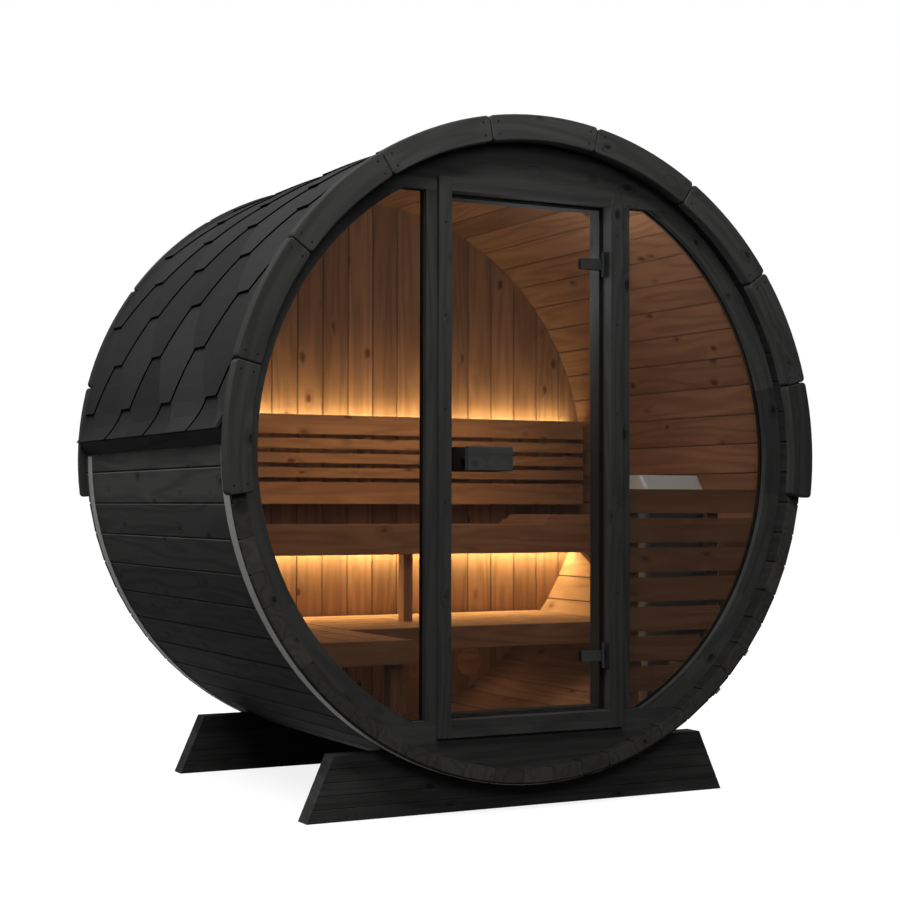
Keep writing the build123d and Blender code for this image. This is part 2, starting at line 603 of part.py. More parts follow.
def upper_bench():
    """Upper bench: front board and seat boards across the room."""
    front = STAVE_FRONT + UPPER_SEAT_SET
    top = UPPER_SEAT_HEIGHT
    low = top - UPPER_FASCIA_HEIGHT
    end = half_width(low, INNER_FLAT) - END_PLAY
    pieces = [bar(-end, end, front, front + BOARD_THICKNESS, low, top)]
    end = half_width(top - BOARD_THICKNESS, INNER_FLAT) - END_PLAY
    start = front + BOARD_THICKNESS
    room_depth = REAR_WALL_FACE - start - BOARD_GAP
    pitch = room_depth / UPPER_BOARDS
    for place in range(UPPER_BOARDS):
        y = start + place * pitch + BOARD_GAP / 2
        pieces.append(bar(-end, end, y, y + pitch - BOARD_GAP, top - BOARD_THICKNESS, top))
    save("upper_bench", pieces)


def lower_bench():
    """Lower bench: seat boards across the room, and a side seat that runs forward on the left."""
    top = LOWER_SEAT_HEIGHT
    under = top - BOARD_THICKNESS
    low = top - LOWER_FASCIA_HEIGHT
    front = STAVE_FRONT + LOWER_SEAT_SET
    side_front = STAVE_FRONT + LEFT_SEAT_SET
    edge = -LEFT_SEAT_OFFSET
    fascia_end = half_width(low, INNER_FLAT) - END_PLAY
    board_end = half_width(under, INNER_FLAT) - END_PLAY
    pieces = [bar(edge, fascia_end, front, front + BOARD_THICKNESS, low, top),
              bar(-fascia_end, edge, side_front, side_front + BOARD_THICKNESS, low, top)]
    start = front + BOARD_THICKNESS
    pitch = (REAR_WALL_FACE - start - BOARD_GAP) / LOWER_BOARDS
    for place in range(LOWER_BOARDS):
        y = start + place * pitch + BOARD_GAP / 2
        pieces.append(bar(edge + BOARD_GAP / 2, board_end, y, y + pitch - BOARD_GAP, under, top))
    side_start = side_front + BOARD_THICKNESS
    pitch = (edge + board_end) / LEFT_BOARDS
    for place in range(LEFT_BOARDS):
        x = -board_end + place * pitch
        pieces.append(bar(x, x + pitch - BOARD_GAP / 2, side_start + BOARD_GAP / 2,
                          REAR_WALL_FACE - BOARD_GAP / 2, under, top))
    save("lower_bench", pieces)


def bench_supports():
    """Bearers and ledgers under both benches, the post, the leg and the end gussets."""
    inside = room(SEAT_RADIUS)
    reach = BARREL_RADIUS
    upper_front = STAVE_FRONT + UPPER_SEAT_SET + BOARD_THICKNESS
    upper_top = UPPER_SEAT_HEIGHT - BOARD_THICKNESS
    upper_low = upper_top - BEARER_HEIGHT
    lower_front = STAVE_FRONT + LOWER_SEAT_SET + BOARD_THICKNESS
    side_front = STAVE_FRONT + LEFT_SEAT_SET + BOARD_THICKNESS
    lower_top = LOWER_SEAT_HEIGHT - BOARD_THICKNESS
    lower_low = lower_top - BEARER_HEIGHT
    ledger_front = REAR_WALL_FACE - BEARER_WIDTH
    ledgers = []
    for low, top in ((upper_low, upper_top), (lower_low, lower_top)):
        ledgers.append(inside & bar(-reach, reach, ledger_front, REAR_WALL_FACE, low, top))
    save("bench_ledgers", ledgers)
    bearers = []
    for low, top, front in ((upper_low, upper_top, upper_front), (lower_low, lower_top, lower_front)):
        start = half_width(low, SEAT_RADIUS) - 2 * BEARER_WIDTH
        bearers.append(inside & bar(start, reach, front, ledger_front, low, top))
    bearers.append(mirror(bearers[0], Plane.YZ))
    start = half_width(lower_low, SEAT_RADIUS) - 2 * BEARER_WIDTH
    bearers.append(inside & bar(-reach, -start, side_front, ledger_front, lower_low, lower_top))
    rail = -LEFT_SEAT_OFFSET
    bearers.append(bar(rail - BEARER_WIDTH, rail, side_front, ledger_front, lower_low, lower_top))
    bearers.append(bar(-POST_WIDTH / 2, POST_WIDTH / 2, upper_front, ledger_front, upper_low, upper_top))
    bearers.append(bar(-POST_WIDTH / 2, POST_WIDTH / 2, lower_front, ledger_front, lower_low, lower_top))
    save("bench_bearers", bearers)
    post = bar(-POST_WIDTH / 2, POST_WIDTH / 2, upper_front, upper_front + POST_DEPTH,
               LOWER_SEAT_HEIGHT, upper_low)
    leg_right = rail - LEG_INSET
    leg = inside & bar(leg_right - LEG_WIDTH, leg_right, side_front, side_front + LEG_WIDTH, 0, lower_low)
    corner = UPPER_SEAT_HEIGHT - UPPER_FASCIA_HEIGHT
    start = half_width(corner, INNER_FLAT) - GUSSET_LENGTH
    drop = reach - start
    face = make_face(Polyline((start, corner), (reach, corner), (reach, corner - drop), close=True))
    gusset = inside & slab(face, upper_front - BOARD_THICKNESS, BOARD_THICKNESS)
    save("bench_posts", [post, leg])
    save("bench_gussets", [gusset, mirror(gusset, Plane.YZ)])


def headrest():
    """Low stepped headrest at the right end of the upper bench, its left ends cut on the slant."""
    front = STAVE_FRONT + UPPER_SEAT_SET
    back = BACKREST_FACE - BOARD_GAP
    first = half_width(UPPER_SEAT_HEIGHT, INNER_FLAT) - END_PLAY - HEADREST_LENGTH
    pieces = []
    for tier in range(2):
        low = UPPER_SEAT_HEIGHT + tier * HEADREST_TIER
        left = first + tier * HEADREST_STEP
        face = make_face(Polyline((left, low), (BARREL_RADIUS, low), (BARREL_RADIUS, low + HEADREST_TIER),
                                  (left + HEADREST_TIER, low + HEADREST_TIER), close=True))
        pieces.append(slab(face, front + tier * HEADREST_STEP, back - front - tier * HEADREST_STEP))
    inside = room(INNER_FLAT - END_PLAY)
    save("headrest", [inside & piece for piece in pieces])


def backrest():
    """Backrest: a wide board below, narrow slats, a wide board on top, on three uprights."""
    back = BACKREST_FACE + BACKREST_THICKNESS
    heights = [BACKREST_BOTTOM_BOARD] + [BACKREST_SLAT] * BACKREST_SLATS + [BACKREST_TOP_BOARD]
    head = BACKREST_BOTTOM + sum(heights) + BACKREST_GAP * (len(heights) - 1)
    end = min(half_width(BACKREST_BOTTOM, INNER_FLAT), half_width(head, INNER_FLAT)) - BACKREST_END_PLAY
    pieces = []
    low = BACKREST_BOTTOM
    for height in heights:
        pieces.append(bar(-end, end, BACKREST_FACE, back, low, low + height))
        low += height + BACKREST_GAP
    save("backrest", pieces)
    top = head - STRIP_WIDTH
    places = (UPRIGHT_INSET - end, 0, end - UPRIGHT_INSET)
    half = UPRIGHT_WIDTH / 2
    save("backrest_uprights",
         [bar(x - half, x + half, back, REAR_WALL_FACE, BACKREST_BOTTOM, top) for x in places])
    strip = bar(-end, end, back, back + STRIP_WIDTH, top, top + STRIP_HEIGHT)
    ledger_low = UPPER_SEAT_HEIGHT - BOARD_THICKNESS - BEARER_HEIGHT
    end = half_width(ledger_low - STRIP_HEIGHT, INNER_FLAT) - END_PLAY
    middle = REAR_WALL_FACE - BEARER_WIDTH / 2
    under = bar(-end, end, middle - STRIP_WIDTH / 2, middle + STRIP_WIDTH / 2,
                ledger_low - STRIP_HEIGHT, ledger_low)
    save("light_strips", [strip, under])


def heater_guard():
    """Slatted guard between the right window and the heater, on two posts, and its heat shield."""
    shortest = FRAME_HALF_WIDTH + GUARD_SHORTEST_SLAT
    lowest = AXIS_HEIGHT - math.sqrt(INNER_FLAT ** 2 - shortest ** 2)
    slats = []
    top = GUARD_TOP
    while top - GUARD_SLAT_HEIGHT > lowest:
        low = top - GUARD_SLAT_HEIGHT
        end = min(half_width(low, INNER_FLAT), half_width(top, INNER_FLAT)) - GUARD_END_PLAY
        slats.append(bar(FRAME_HALF_WIDTH, end, STAVE_FRONT + GUARD_SET, GUARD_BACK, low, top))
        top -= GUARD_PITCH
    save("guard_slats", slats)
    inside = room(SEAT_RADIUS)
    outer = heater_right() + SHIELD_GAP
    posts = []
    for left in (FRAME_HALF_WIDTH + GUARD_POST_INSET, outer - GUARD_POST_WIDTH):
        post = bar(left, left + GUARD_POST_WIDTH, GUARD_BACK, GUARD_BACK + GUARD_POST_DEPTH, 0, GUARD_TOP)
        posts.append(inside & post)
    save("guard_posts", posts)
    shield = bar(outer, outer + SHIELD_THICKNESS, GUARD_BACK, HEATER_BACK, 0, GUARD_TOP - SHIELD_DROP)
    save("heater_shield", [inside & shield])


def heater_plan(inset, lean):
    """The heater seen from above, drawn in from its outside, its front leaning back at the top."""
    width = HEATER_WIDTH - 2 * inset
    depth = HEATER_DEPTH - lean - 2 * inset
    middle = Pos(heater_right() - HEATER_WIDTH / 2, (HEATER_FRONT + lean + HEATER_BACK) / 2)
    return middle * RectangleRounded(width, depth, HEATER_CORNER_RADIUS - inset)


def heater():
    """Heater: sheet steel housing, leaning hopper, stones on their tray, and feet cut to the staves."""
    housing = extrude(heater_plan(0, 0), HEATER_HEIGHT)
    housing -= Pos(0, 0, HEATER_SHEET) * extrude(heater_plan(HEATER_SHEET, 0), HEATER_HEIGHT)
    save("heater_housing", [Pos(0, 0, HEATER_BOTTOM) * housing])
    rim = Pos(0, 0, HOPPER_HEIGHT)
    outer = loft([heater_plan(0, 0), rim * heater_plan(0, HOPPER_LEAN)])
    inner = loft([heater_plan(HEATER_SHEET, 0), rim * heater_plan(HEATER_SHEET, HOPPER_LEAN)])
    save("heater_hopper", [Pos(0, 0, HEATER_TOP) * (outer - inner)])
    tray_top = HEATER_TOP + HOPPER_HEIGHT - STONE_DEPTH
    tray = extrude(heater_plan(HEATER_SHEET, 0), HEATER_SHEET)
    save("heater_tray", [Pos(0, 0, tray_top - HEATER_SHEET) * tray])
    stones = extrude(heater_plan(HEATER_SHEET + SEAT_GAP, HOPPER_LEAN), STONE_DEPTH - STONE_DROP)
    save("heater_stones", [Pos(0, 0, tray_top) * stones])
    inside = room(SEAT_RADIUS)
    right = heater_right() - HEATER_FOOT_INSET
    left = heater_right() - HEATER_WIDTH + HEATER_FOOT_INSET
    feet = []
    for x in (left, right - HEATER_FOOT_WIDTH):
        for y in (HEATER_FRONT + HEATER_FOOT_INSET, HEATER_BACK - HEATER_FOOT_INSET - HEATER_FOOT_WIDTH):
            foot = bar(x, x + HEATER_FOOT_WIDTH, y, y + HEATER_FOOT_WIDTH, 0, HEATER_BOTTOM)
            feet.append(inside & foot)
    save("heater_feet", feet)


os.makedirs("parts", exist_ok=True)
staves()
trims()
save("hoop_front", [hoop(STAVE_FRONT + HOOP_FRONT_SET)])
save("hoop_rear", [hoop(STAVE_REAR - HOOP_REAR_SET - HOOP_WIDTH)])
roof()
front_wall()
door_frame()
door()
rear_wall()
vent()
cradles()
upper_bench()
lower_bench()
bench_supports()
headrest()
backrest()
heater_guard()
heater()
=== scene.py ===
"""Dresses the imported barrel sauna: stained and heat-treated timber, shingles, glass, steel and light."""

import math

import bpy
from bpy.props import FloatProperty, FloatVectorProperty, IntProperty, PointerProperty
from mathutils import Matrix, Vector


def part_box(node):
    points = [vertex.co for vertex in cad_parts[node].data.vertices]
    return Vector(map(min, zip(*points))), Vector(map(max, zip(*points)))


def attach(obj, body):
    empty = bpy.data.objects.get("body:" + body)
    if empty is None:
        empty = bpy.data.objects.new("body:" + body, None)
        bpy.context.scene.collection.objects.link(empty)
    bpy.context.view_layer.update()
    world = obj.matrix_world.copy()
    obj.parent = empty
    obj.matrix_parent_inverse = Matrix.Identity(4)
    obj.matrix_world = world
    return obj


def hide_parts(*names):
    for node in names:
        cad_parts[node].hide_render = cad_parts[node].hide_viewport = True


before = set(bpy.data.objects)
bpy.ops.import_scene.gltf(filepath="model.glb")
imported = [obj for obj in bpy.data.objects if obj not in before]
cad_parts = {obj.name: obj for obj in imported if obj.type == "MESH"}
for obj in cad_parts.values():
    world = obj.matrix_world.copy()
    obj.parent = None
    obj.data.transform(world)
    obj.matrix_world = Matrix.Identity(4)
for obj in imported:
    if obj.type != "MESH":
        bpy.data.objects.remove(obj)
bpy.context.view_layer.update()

bl_info = {
    "name": "Barrel sauna dressing",
    "version": (1, 0, 0),
    "blender": (4, 5, 0),
    "location": "3D View > Sidebar > Sauna",
    "description": "Finishes, shingles, screws, stones and light for a barrel sauna",
    "category": "Object",
}

MM = 0.001

# Places read from the frame, in metres
HOOP_LOW, HOOP_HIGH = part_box("hoop_front")
BARREL_RADIUS = (HOOP_HIGH.x - HOOP_LOW.x) / 2
AXIS_HEIGHT = HOOP_LOW.z + BARREL_RADIUS
STAVE_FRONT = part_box("staves_1")[0].y
STAVE_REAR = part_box("staves_1")[1].y
FRONT_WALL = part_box("front_wall_head")
REAR_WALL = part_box("rear_wall")
WALL_RADIUS = REAR_WALL[1].x
ROOF_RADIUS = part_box("roof_top")[1].z - AXIS_HEIGHT
JAMB_LOW, JAMB_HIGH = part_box("door_jamb_right")
TRIM_LOW, TRIM_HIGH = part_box("front_trim")
TRIM_RADIUS = TRIM_HIGH.z - AXIS_HEIGHT

# What counts as lying on a face
SLIGHT = 1 * MM


def linear(code):
    """An sRGB hex colour as linear red, green, blue and alpha."""
    parts = [int(code[place:place + 2], 16) / 255 for place in (1, 3, 5)]
    bent = [part / 12.92 if part <= 0.04045 else ((part + 0.055) / 1.055) ** 2.4 for part in parts]
    return (*bent, 1.0)


def add(tree, kind, inputs=(), **settings):
    """One node with its settings; inputs are values, sockets or nodes, by place or by name."""
    node = tree.nodes.new(kind)
    for key, value in settings.items():
        setattr(node, key, value)
    for key, value in inputs.items() if isinstance(inputs, dict) else enumerate(inputs):
        if isinstance(key, str):
            socket = next(s for s in node.inputs if s.name == key and s.enabled)
        else:
            socket = node.inputs[key]
        if isinstance(value, bpy.types.Node):
            value = next(s for s in value.outputs if s.enabled)
        if isinstance(value, bpy.types.NodeSocket):
            tree.links.new(value, socket)
        elif value is not None:
            socket.default_value = value
    return node


class TimberLook(bpy.types.PropertyGroup):
    """Colours of the two timbers."""
    charcoal: FloatVectorProperty(name="Charcoal stain", description="Stained outside timber", size=4,
                                  subtype="COLOR", default=linear("#3d3d3c"))
    charcoal_dark: FloatVectorProperty(name="Charcoal grain", description="Late wood in the stained timber",
                                       size=4, subtype="COLOR", default=linear("#272727"))
    pine: FloatVectorProperty(name="Heat-treated pine", description="Inside timber", size=4,
                              subtype="COLOR", default=linear("#9a6f50"))
    pine_dark: FloatVectorProperty(name="Pine grain", description="Late wood in the inside timber", size=4,
                                   subtype="COLOR", default=linear("#6a4630"))


class ShingleSizes(bpy.types.PropertyGroup):
    """Sizes of the hexagonal shingles."""
    course: FloatProperty(name="Course height", description="Height of one course up the roof",
                          default=0.158, unit="LENGTH")
    pitch: FloatProperty(name="Tab pitch", description="From one tab to the next", default=0.4,
                         unit="LENGTH")
    edge: FloatProperty(name="Tab edge", description="Straight lower edge of a tab", default=0.097,
                        unit="LENGTH")
    slant: FloatProperty(name="Slant run", description="How far a slanted edge runs along the roof",
                         default=0.105, unit="LENGTH")
    thickness: FloatProperty(name="Thickness", description="Thickness of one shingle", default=0.0045,
                             unit="LENGTH")
    centre: FloatProperty(name="Tab centre", description="Place of one tab's middle along the barrel",
                          default=-0.155, unit="LENGTH")
    first_angle: FloatProperty(name="First course", description="Lower edge of course 1, from the top",
                               default=math.radians(99.66), subtype="ANGLE")
    eave_angle: FloatProperty(name="Eave", description="Lower edge of the roof, from the top",
                              default=math.radians(87.2), subtype="ANGLE")
    arc_angle: FloatProperty(name="Kick start", description="Where the roof leaves the barrel, from the top",
                             default=math.radians(82), subtype="ANGLE")
    courses: IntProperty(name="Courses", description="Courses on each side, starter included", default=11)


class LightLevels(bpy.types.PropertyGroup):
    """Lamps and sky."""
    sky: FloatProperty(name="Sky", description="Even light from all round", default=0.1)
    key: FloatProperty(name="Key lamp", description="Soft lamp above the front", default=62, unit="POWER")
    front: FloatProperty(name="Front lamp", description="Soft lamp in front", default=50, unit="POWER")
    side: FloatProperty(name="Side lamp", description="Soft lamp above the left side", default=230,
                        unit="POWER")
    fill: FloatProperty(name="Fill lamp", description="Soft lamps on the right and behind", default=230,
                        unit="POWER")
    upper_strip: FloatProperty(name="Upper strip", description="Warm strip on the backrest", default=4.3,
                               unit="POWER")
    lower_strip: FloatProperty(name="Lower strip", description="Warm strip under the upper bench",
                               default=23, unit="POWER")
    room: FloatProperty(name="Room light", description="Warm light thrown back into the room", default=2.7,
                        unit="POWER")
    line: FloatProperty(name="Glow line", description="Bright line on the wall over the backrest",
                        default=0.4, unit="POWER")
    air: FloatProperty(name="Air light", description="Daylight under the ceiling", default=17, unit="POWER")
    floor: FloatProperty(name="Floor light", description="Warm light thrown down to the floor", default=0.85,
                         unit="POWER")
    under: FloatProperty(name="Under light", description="Warm light under the lower bench", default=0.6,
                         unit="POWER")
    strip_colour: FloatVectorProperty(name="Strip colour", description="Warm white of the strips", size=3,
                                      subtype="COLOR", default=(1.0, 0.98, 0.55))
    line_colour: FloatVectorProperty(name="Line colour", description="Paler light close to the upper strip",
                                     size=3, subtype="COLOR", default=(0.6, 1.0, 0.85))
    room_colour: FloatVectorProperty(name="Room colour", description="Light thrown back by the pine", size=3,
                                     subtype="COLOR", default=(1.0, 0.8, 0.42))
    air_colour: FloatVectorProperty(name="Air colour", description="Daylight in the room", size=3,
                                    subtype="COLOR", default=(0.8, 0.92, 1.0))


def new_material(name):
    """An empty node material and its output."""
    material = bpy.data.materials.new(name)
    material.use_nodes = True
    material.node_tree.nodes.clear()
    return material, add(material.node_tree, "ShaderNodeOutputMaterial")


# Softwood: lengths in metres, tones as shares
BOARD_SHIFT = 7.0
KNOT_SPACING = 0.09
KNOT_SQUASH = 0.6
KNOT_WAVE = 0.012
KNOT_SHAKE = 6 * MM
KNOT_REACH = (0.30, 0.05)
KNOT_CORE = (0.12, 0.06)
BARE_KNOT_SCALE = 1.2
KNOT_DEPTH = 0.8
KNOT_HALO = 0.12
RING_SPACING = 0.09
RING_STRETCH = 0.10
RING_BEND = 0.16
RING_PHASE = 40.0
RING_LINE = (-0.4, 1.0)
RING_SHARE = 0.3
FIBRE_SPACING = 0.004
FIBRE_STRETCH = 0.03
FIBRE_SHARE = 0.6
CLOUD_SIZE = 0.25
CLOUD_SHARE = 0.5
BOARD_TONE = 0.65
BOARD_TONE_SPREAD = 0.3
GRAIN_RELIEF = 0.6 * MM
GRAIN_STRENGTH = 0.25
ROUGHNESS = {"stained": 0.75, "bare": 0.6}
MIXED_ROUGHNESS = 0.7
ROUGHNESS_SPREAD = 0.14
MATT_SHINE = 0.01
STAINED_KNOT = linear("#1b1a19")
BARE_KNOT = linear("#522a14")
END_GRAIN = linear("#41403d")
END_GRAIN_DARK = linear("#2b2a28")

# Joints lie half a board's width from its middle, and dirt and the painted highlight near them are shares of
# that width
WALL_JOINT = (0.47, 0.49)
WALL_JOINT_TONE = 0.6
STAVE_JOINT = (0.474, 0.486)
STAVE_DIRT = 0.5
STAVE_DIRT_OUTSIDE = 0.35
STAVE_DIRT_AT_END = -0.3
STAVE_HIGHLIGHT_BAND = (-0.442, -0.455)
STAVE_PAINTED_HIGHLIGHT = 0.7
STAIN_DEPTH = 8 * MM
PAINTED_SHADE_HEIGHT = 0.3
PAINTED_SHADE_TONES = (-0.72, 0.2)
RECESS_DEPTH = 4 * MM
RECESS_PAINTED_SHADE = -0.55


def grain_space(tree, along, boards):
    """Position as (along the grain, across, across), shifted from board to board, and each board's tone."""
    place = add(tree, "ShaderNodeTexCoord").outputs["Object"]
    parts = add(tree, "ShaderNodeSeparateXYZ", [place])
    x, y, z = parts.outputs
    height = add(tree, "ShaderNodeMath", [z, AXIS_HEIGHT], operation="SUBTRACT")
    angle = add(tree, "ShaderNodeMath", [x, height], operation="ARCTAN2")
    flat = add(tree, "ShaderNodeCombineXYZ", [x, 0.0, height])
    radius = add(tree, "ShaderNodeVectorMath", [flat], operation="LENGTH").outputs["Value"]
    arc = add(tree, "ShaderNodeMath", [angle, BARREL_RADIUS], operation="MULTIPLY")
    runs = {"X": (x, y, z), "Y": (y, x, z), "Z": (z, x, y), "ring": (arc, radius, y)}
    counted = {"X": x, "Y": y, "Z": z, "angle": angle}
    axis, step = boards
    share = add(tree, "ShaderNodeMath", [counted[axis], 1 / step], operation="MULTIPLY")
    number = add(tree, "ShaderNodeMath", [share], operation="ROUND")
    share = add(tree, "ShaderNodeMath", [share, number], operation="SUBTRACT")
    chance = add(tree, "ShaderNodeTexWhiteNoise", {"W": number}, noise_dimensions="1D")
    space = add(tree, "ShaderNodeCombineXYZ", list(runs[along]))
    spread = add(tree, "ShaderNodeVectorMath", {0: chance.outputs["Color"], "Scale": BOARD_SHIFT},
                 operation="SCALE")
    space = add(tree, "ShaderNodeVectorMath", [space, spread], operation="ADD")
    return space, chance.outputs["Value"], share, (x, y, z), radius


def timber(name, along, boards, skin, gain, look):
    """Planed softwood: flat-sawn grain, fine streaks and knots; skin says where it is stained or bare."""
    material, output = new_material(name)
    tree = material.node_tree
    space, tone, share, (x, y, z), radius = grain_space(tree, along, boards)
    # Knots about 15 mm across push the grain lines aside
    wander = add(tree, "ShaderNodeTexNoise", {"Vector": space, "Scale": 1 / KNOT_WAVE, "Detail": 1.0})
    knot_space = add(tree, "ShaderNodeVectorMath", [space, (KNOT_SQUASH, 1.0, 1.0)], operation="MULTIPLY")
    shaken = add(tree, "ShaderNodeVectorMath", {0: wander.outputs["Color"], "Scale": KNOT_SHAKE},
                 operation="SCALE")
    knot_space = add(tree, "ShaderNodeVectorMath", [knot_space, shaken], operation="ADD")
    knot = add(tree, "ShaderNodeTexVoronoi", {"Vector": knot_space, "Scale": 1 / KNOT_SPACING})
    near = add(tree, "ShaderNodeMapRange", [knot.outputs["Distance"], *KNOT_REACH, 0.0, 1.0],
               interpolation_type="SMOOTHSTEP")
    wide = 1.0 if skin == "stained" else BARE_KNOT_SCALE
    knot_rim, knot_middle = (reach * wide for reach in KNOT_CORE)
    core = add(tree, "ShaderNodeMapRange", [knot.outputs["Distance"], knot_rim, knot_middle, 0.0, 1.0],
               interpolation_type="SMOOTHSTEP")
    # Growth rings show as long lines some 8 to 20 mm apart
    ring_space = add(tree, "ShaderNodeVectorMath", [space, (RING_STRETCH, 1.0, 1.0)], operation="MULTIPLY")
    ring = add(tree, "ShaderNodeTexNoise", {"Vector": ring_space, "Scale": 1 / RING_SPACING, "Detail": 1.0})
    phase = add(tree, "ShaderNodeMath", [near, RING_BEND, ring], operation="MULTIPLY_ADD")
    phase = add(tree, "ShaderNodeMath", [phase, RING_PHASE], operation="MULTIPLY")
    phase = add(tree, "ShaderNodeMath", [phase], operation="SINE")
    lines = add(tree, "ShaderNodeMapRange", [phase, *RING_LINE, 0.0, 1.0])
    # Fine fibre streaks lie over the rings, and broad clouds of tone under them
    fibre_space = add(tree, "ShaderNodeVectorMath", [space, (FIBRE_STRETCH, 1.0, 1.0)], operation="MULTIPLY")
    fibre = add(tree, "ShaderNodeTexNoise", {
        "Vector": fibre_space, "Scale": 1 / FIBRE_SPACING, "Detail": 3.0})
    patch = add(tree, "ShaderNodeTexNoise", {"Vector": ring_space, "Scale": 1 / CLOUD_SIZE, "Detail": 2.0})
    streak = add(tree, "ShaderNodeMath", [fibre, FIBRE_SHARE], operation="MULTIPLY")
    streak = add(tree, "ShaderNodeMath", [lines, RING_SHARE, streak], operation="MULTIPLY_ADD")
    bright = add(tree, "ShaderNodeMath", [tone, BOARD_TONE_SPREAD * gain, BOARD_TONE * gain],
                 operation="MULTIPLY_ADD")
    cloud = add(tree, "ShaderNodeMath", [patch, CLOUD_SHARE * gain], operation="MULTIPLY")
    bright = add(tree, "ShaderNodeMath", [bright, cloud], operation="ADD")
    halo = add(tree, "ShaderNodeMath", [near, -KNOT_HALO, 1.0], operation="MULTIPLY_ADD")
    bright = add(tree, "ShaderNodeMath", [bright, halo], operation="MULTIPLY")
    off = add(tree, "ShaderNodeMath", [share], operation="ABSOLUTE")
    if skin == "rear wall":
        # Dirt 2 mm wide in each joint
        clean = add(tree, "ShaderNodeMapRange", [off, *WALL_JOINT, 1.0, WALL_JOINT_TONE])
        bright = add(tree, "ShaderNodeMath", [bright, clean], operation="MULTIPLY")
    if skin == "stave":
        far = add(tree, "ShaderNodeMath", [y], operation="ABSOLUTE")
        end = add(tree, "ShaderNodeMath", [far, STAVE_REAR - SLIGHT], operation="GREATER_THAN")
        # Dirt 2 mm wide in each joint, and a painted highlight 3 mm wide on the upper edge of the next stave
        side = add(tree, "ShaderNodeMath", [x], operation="SIGN")
        edge = add(tree, "ShaderNodeMath", [share, side], operation="MULTIPLY")
        outer = add(tree, "ShaderNodeMath", [radius, BARREL_RADIUS - STAIN_DEPTH], operation="GREATER_THAN")
        depth = add(tree, "ShaderNodeMath", [outer, STAVE_DIRT_OUTSIDE, STAVE_DIRT],
                    operation="MULTIPLY_ADD")
        depth = add(tree, "ShaderNodeMath", [end, STAVE_DIRT_AT_END, depth], operation="MULTIPLY_ADD")
        dirt = add(tree, "ShaderNodeMapRange", [off, *STAVE_JOINT, 0.0, depth])
        lit = add(tree, "ShaderNodeMath", [outer, STAVE_PAINTED_HIGHLIGHT], operation="MULTIPLY")
        rim = add(tree, "ShaderNodeMapRange", [edge, *STAVE_HIGHLIGHT_BAND, 0.0, lit])
        bright = add(tree, "ShaderNodeMath", [bright, rim, bright], operation="MULTIPLY_ADD")
        clean = add(tree, "ShaderNodeMath", [1.0, dirt], operation="SUBTRACT")
        bright = add(tree, "ShaderNodeMath", [bright, clean], operation="MULTIPLY")
        # Painted shade and light: the outside is darker towards the ground and lighter up to the axis, as
        # light from above falls
        painted_shade = add(tree, "ShaderNodeMapRange", [z, PAINTED_SHADE_HEIGHT, AXIS_HEIGHT, *PAINTED_SHADE_TONES])
        painted_shade = add(tree, "ShaderNodeMath", [painted_shade, outer, 1.0], operation="MULTIPLY_ADD")
        bright = add(tree, "ShaderNodeMath", [bright, painted_shade], operation="MULTIPLY")
        # Painted shade: the inner faces of the staves in the recess before the end walls are darker
        deep = add(tree, "ShaderNodeMath", [radius, WALL_RADIUS - RECESS_DEPTH], operation="LESS_THAN")
        between = add(tree, "ShaderNodeMath", [far, REAR_WALL[1].y], operation="LESS_THAN")
        inside = add(tree, "ShaderNodeMath", [deep, between], operation="MULTIPLY")
        recess = add(tree, "ShaderNodeMath", [deep, inside], operation="SUBTRACT")
        recess = add(tree, "ShaderNodeMath", [recess, end], operation="SUBTRACT", use_clamp=True)
        recess = add(tree, "ShaderNodeMath", [recess, RECESS_PAINTED_SHADE, 1.0], operation="MULTIPLY_ADD")
        bright = add(tree, "ShaderNodeMath", [bright, recess], operation="MULTIPLY")

    heart = add(tree, "ShaderNodeMath", [core, KNOT_DEPTH], operation="MULTIPLY")

    def coloured(light, dark, knots):
        mixed = add(tree, "ShaderNodeMix", {"Factor": streak, "A": light, "B": dark}, data_type="RGBA")
        mixed = add(tree, "ShaderNodeMix", {"Factor": heart, "A": mixed, "B": knots}, data_type="RGBA")
        return add(tree, "ShaderNodeVectorMath", {0: mixed, "Scale": bright}, operation="SCALE")

    stained = coloured(tuple(look.charcoal), tuple(look.charcoal_dark), STAINED_KNOT)
    bare = coloured(tuple(look.pine), tuple(look.pine_dark), BARE_KNOT)
    if skin == "stave":
        # Weathered end grain is a little paler and browner than the stained faces
        worn = coloured(END_GRAIN, END_GRAIN_DARK, STAINED_KNOT)
        stained = add(tree, "ShaderNodeMix", {"Factor": end, "A": stained, "B": worn}, data_type="RGBA")
    if skin == "stained":
        colour = stained
    elif skin == "bare":
        colour = bare
    else:
        if skin == "front wall":
            inside = add(tree, "ShaderNodeMath", [y, FRONT_WALL[1].y - SLIGHT], operation="GREATER_THAN")
        elif skin == "rear wall":
            inside = add(tree, "ShaderNodeMath", [y, (REAR_WALL[0].y + REAR_WALL[1].y) / 2],
                         operation="LESS_THAN")
        colour = add(tree, "ShaderNodeMix", {"Factor": inside, "A": stained, "B": bare}, data_type="RGBA")
    rough = ROUGHNESS.get(skin, MIXED_ROUGHNESS)
    height = add(tree, "ShaderNodeMath", [streak, -1.0, core], operation="MULTIPLY_ADD")
    bump = add(tree, "ShaderNodeBump", {
        "Height": height, "Strength": GRAIN_STRENGTH, "Distance": GRAIN_RELIEF})
    roughness = add(tree, "ShaderNodeMath", [streak, ROUGHNESS_SPREAD, rough - ROUGHNESS_SPREAD / 2],
                    operation="MULTIPLY_ADD")
    shader = add(tree, "ShaderNodeBsdfPrincipled", {
        "Base Color": colour, "Roughness": roughness, "Normal": bump, "Specular IOR Level": MATT_SHINE})
    add_link(tree, shader, output)
    return material


def add_link(tree, shader, output):
    """Joins a shader to the material's output."""
    tree.links.new(shader.outputs[0], output.inputs["Surface"])


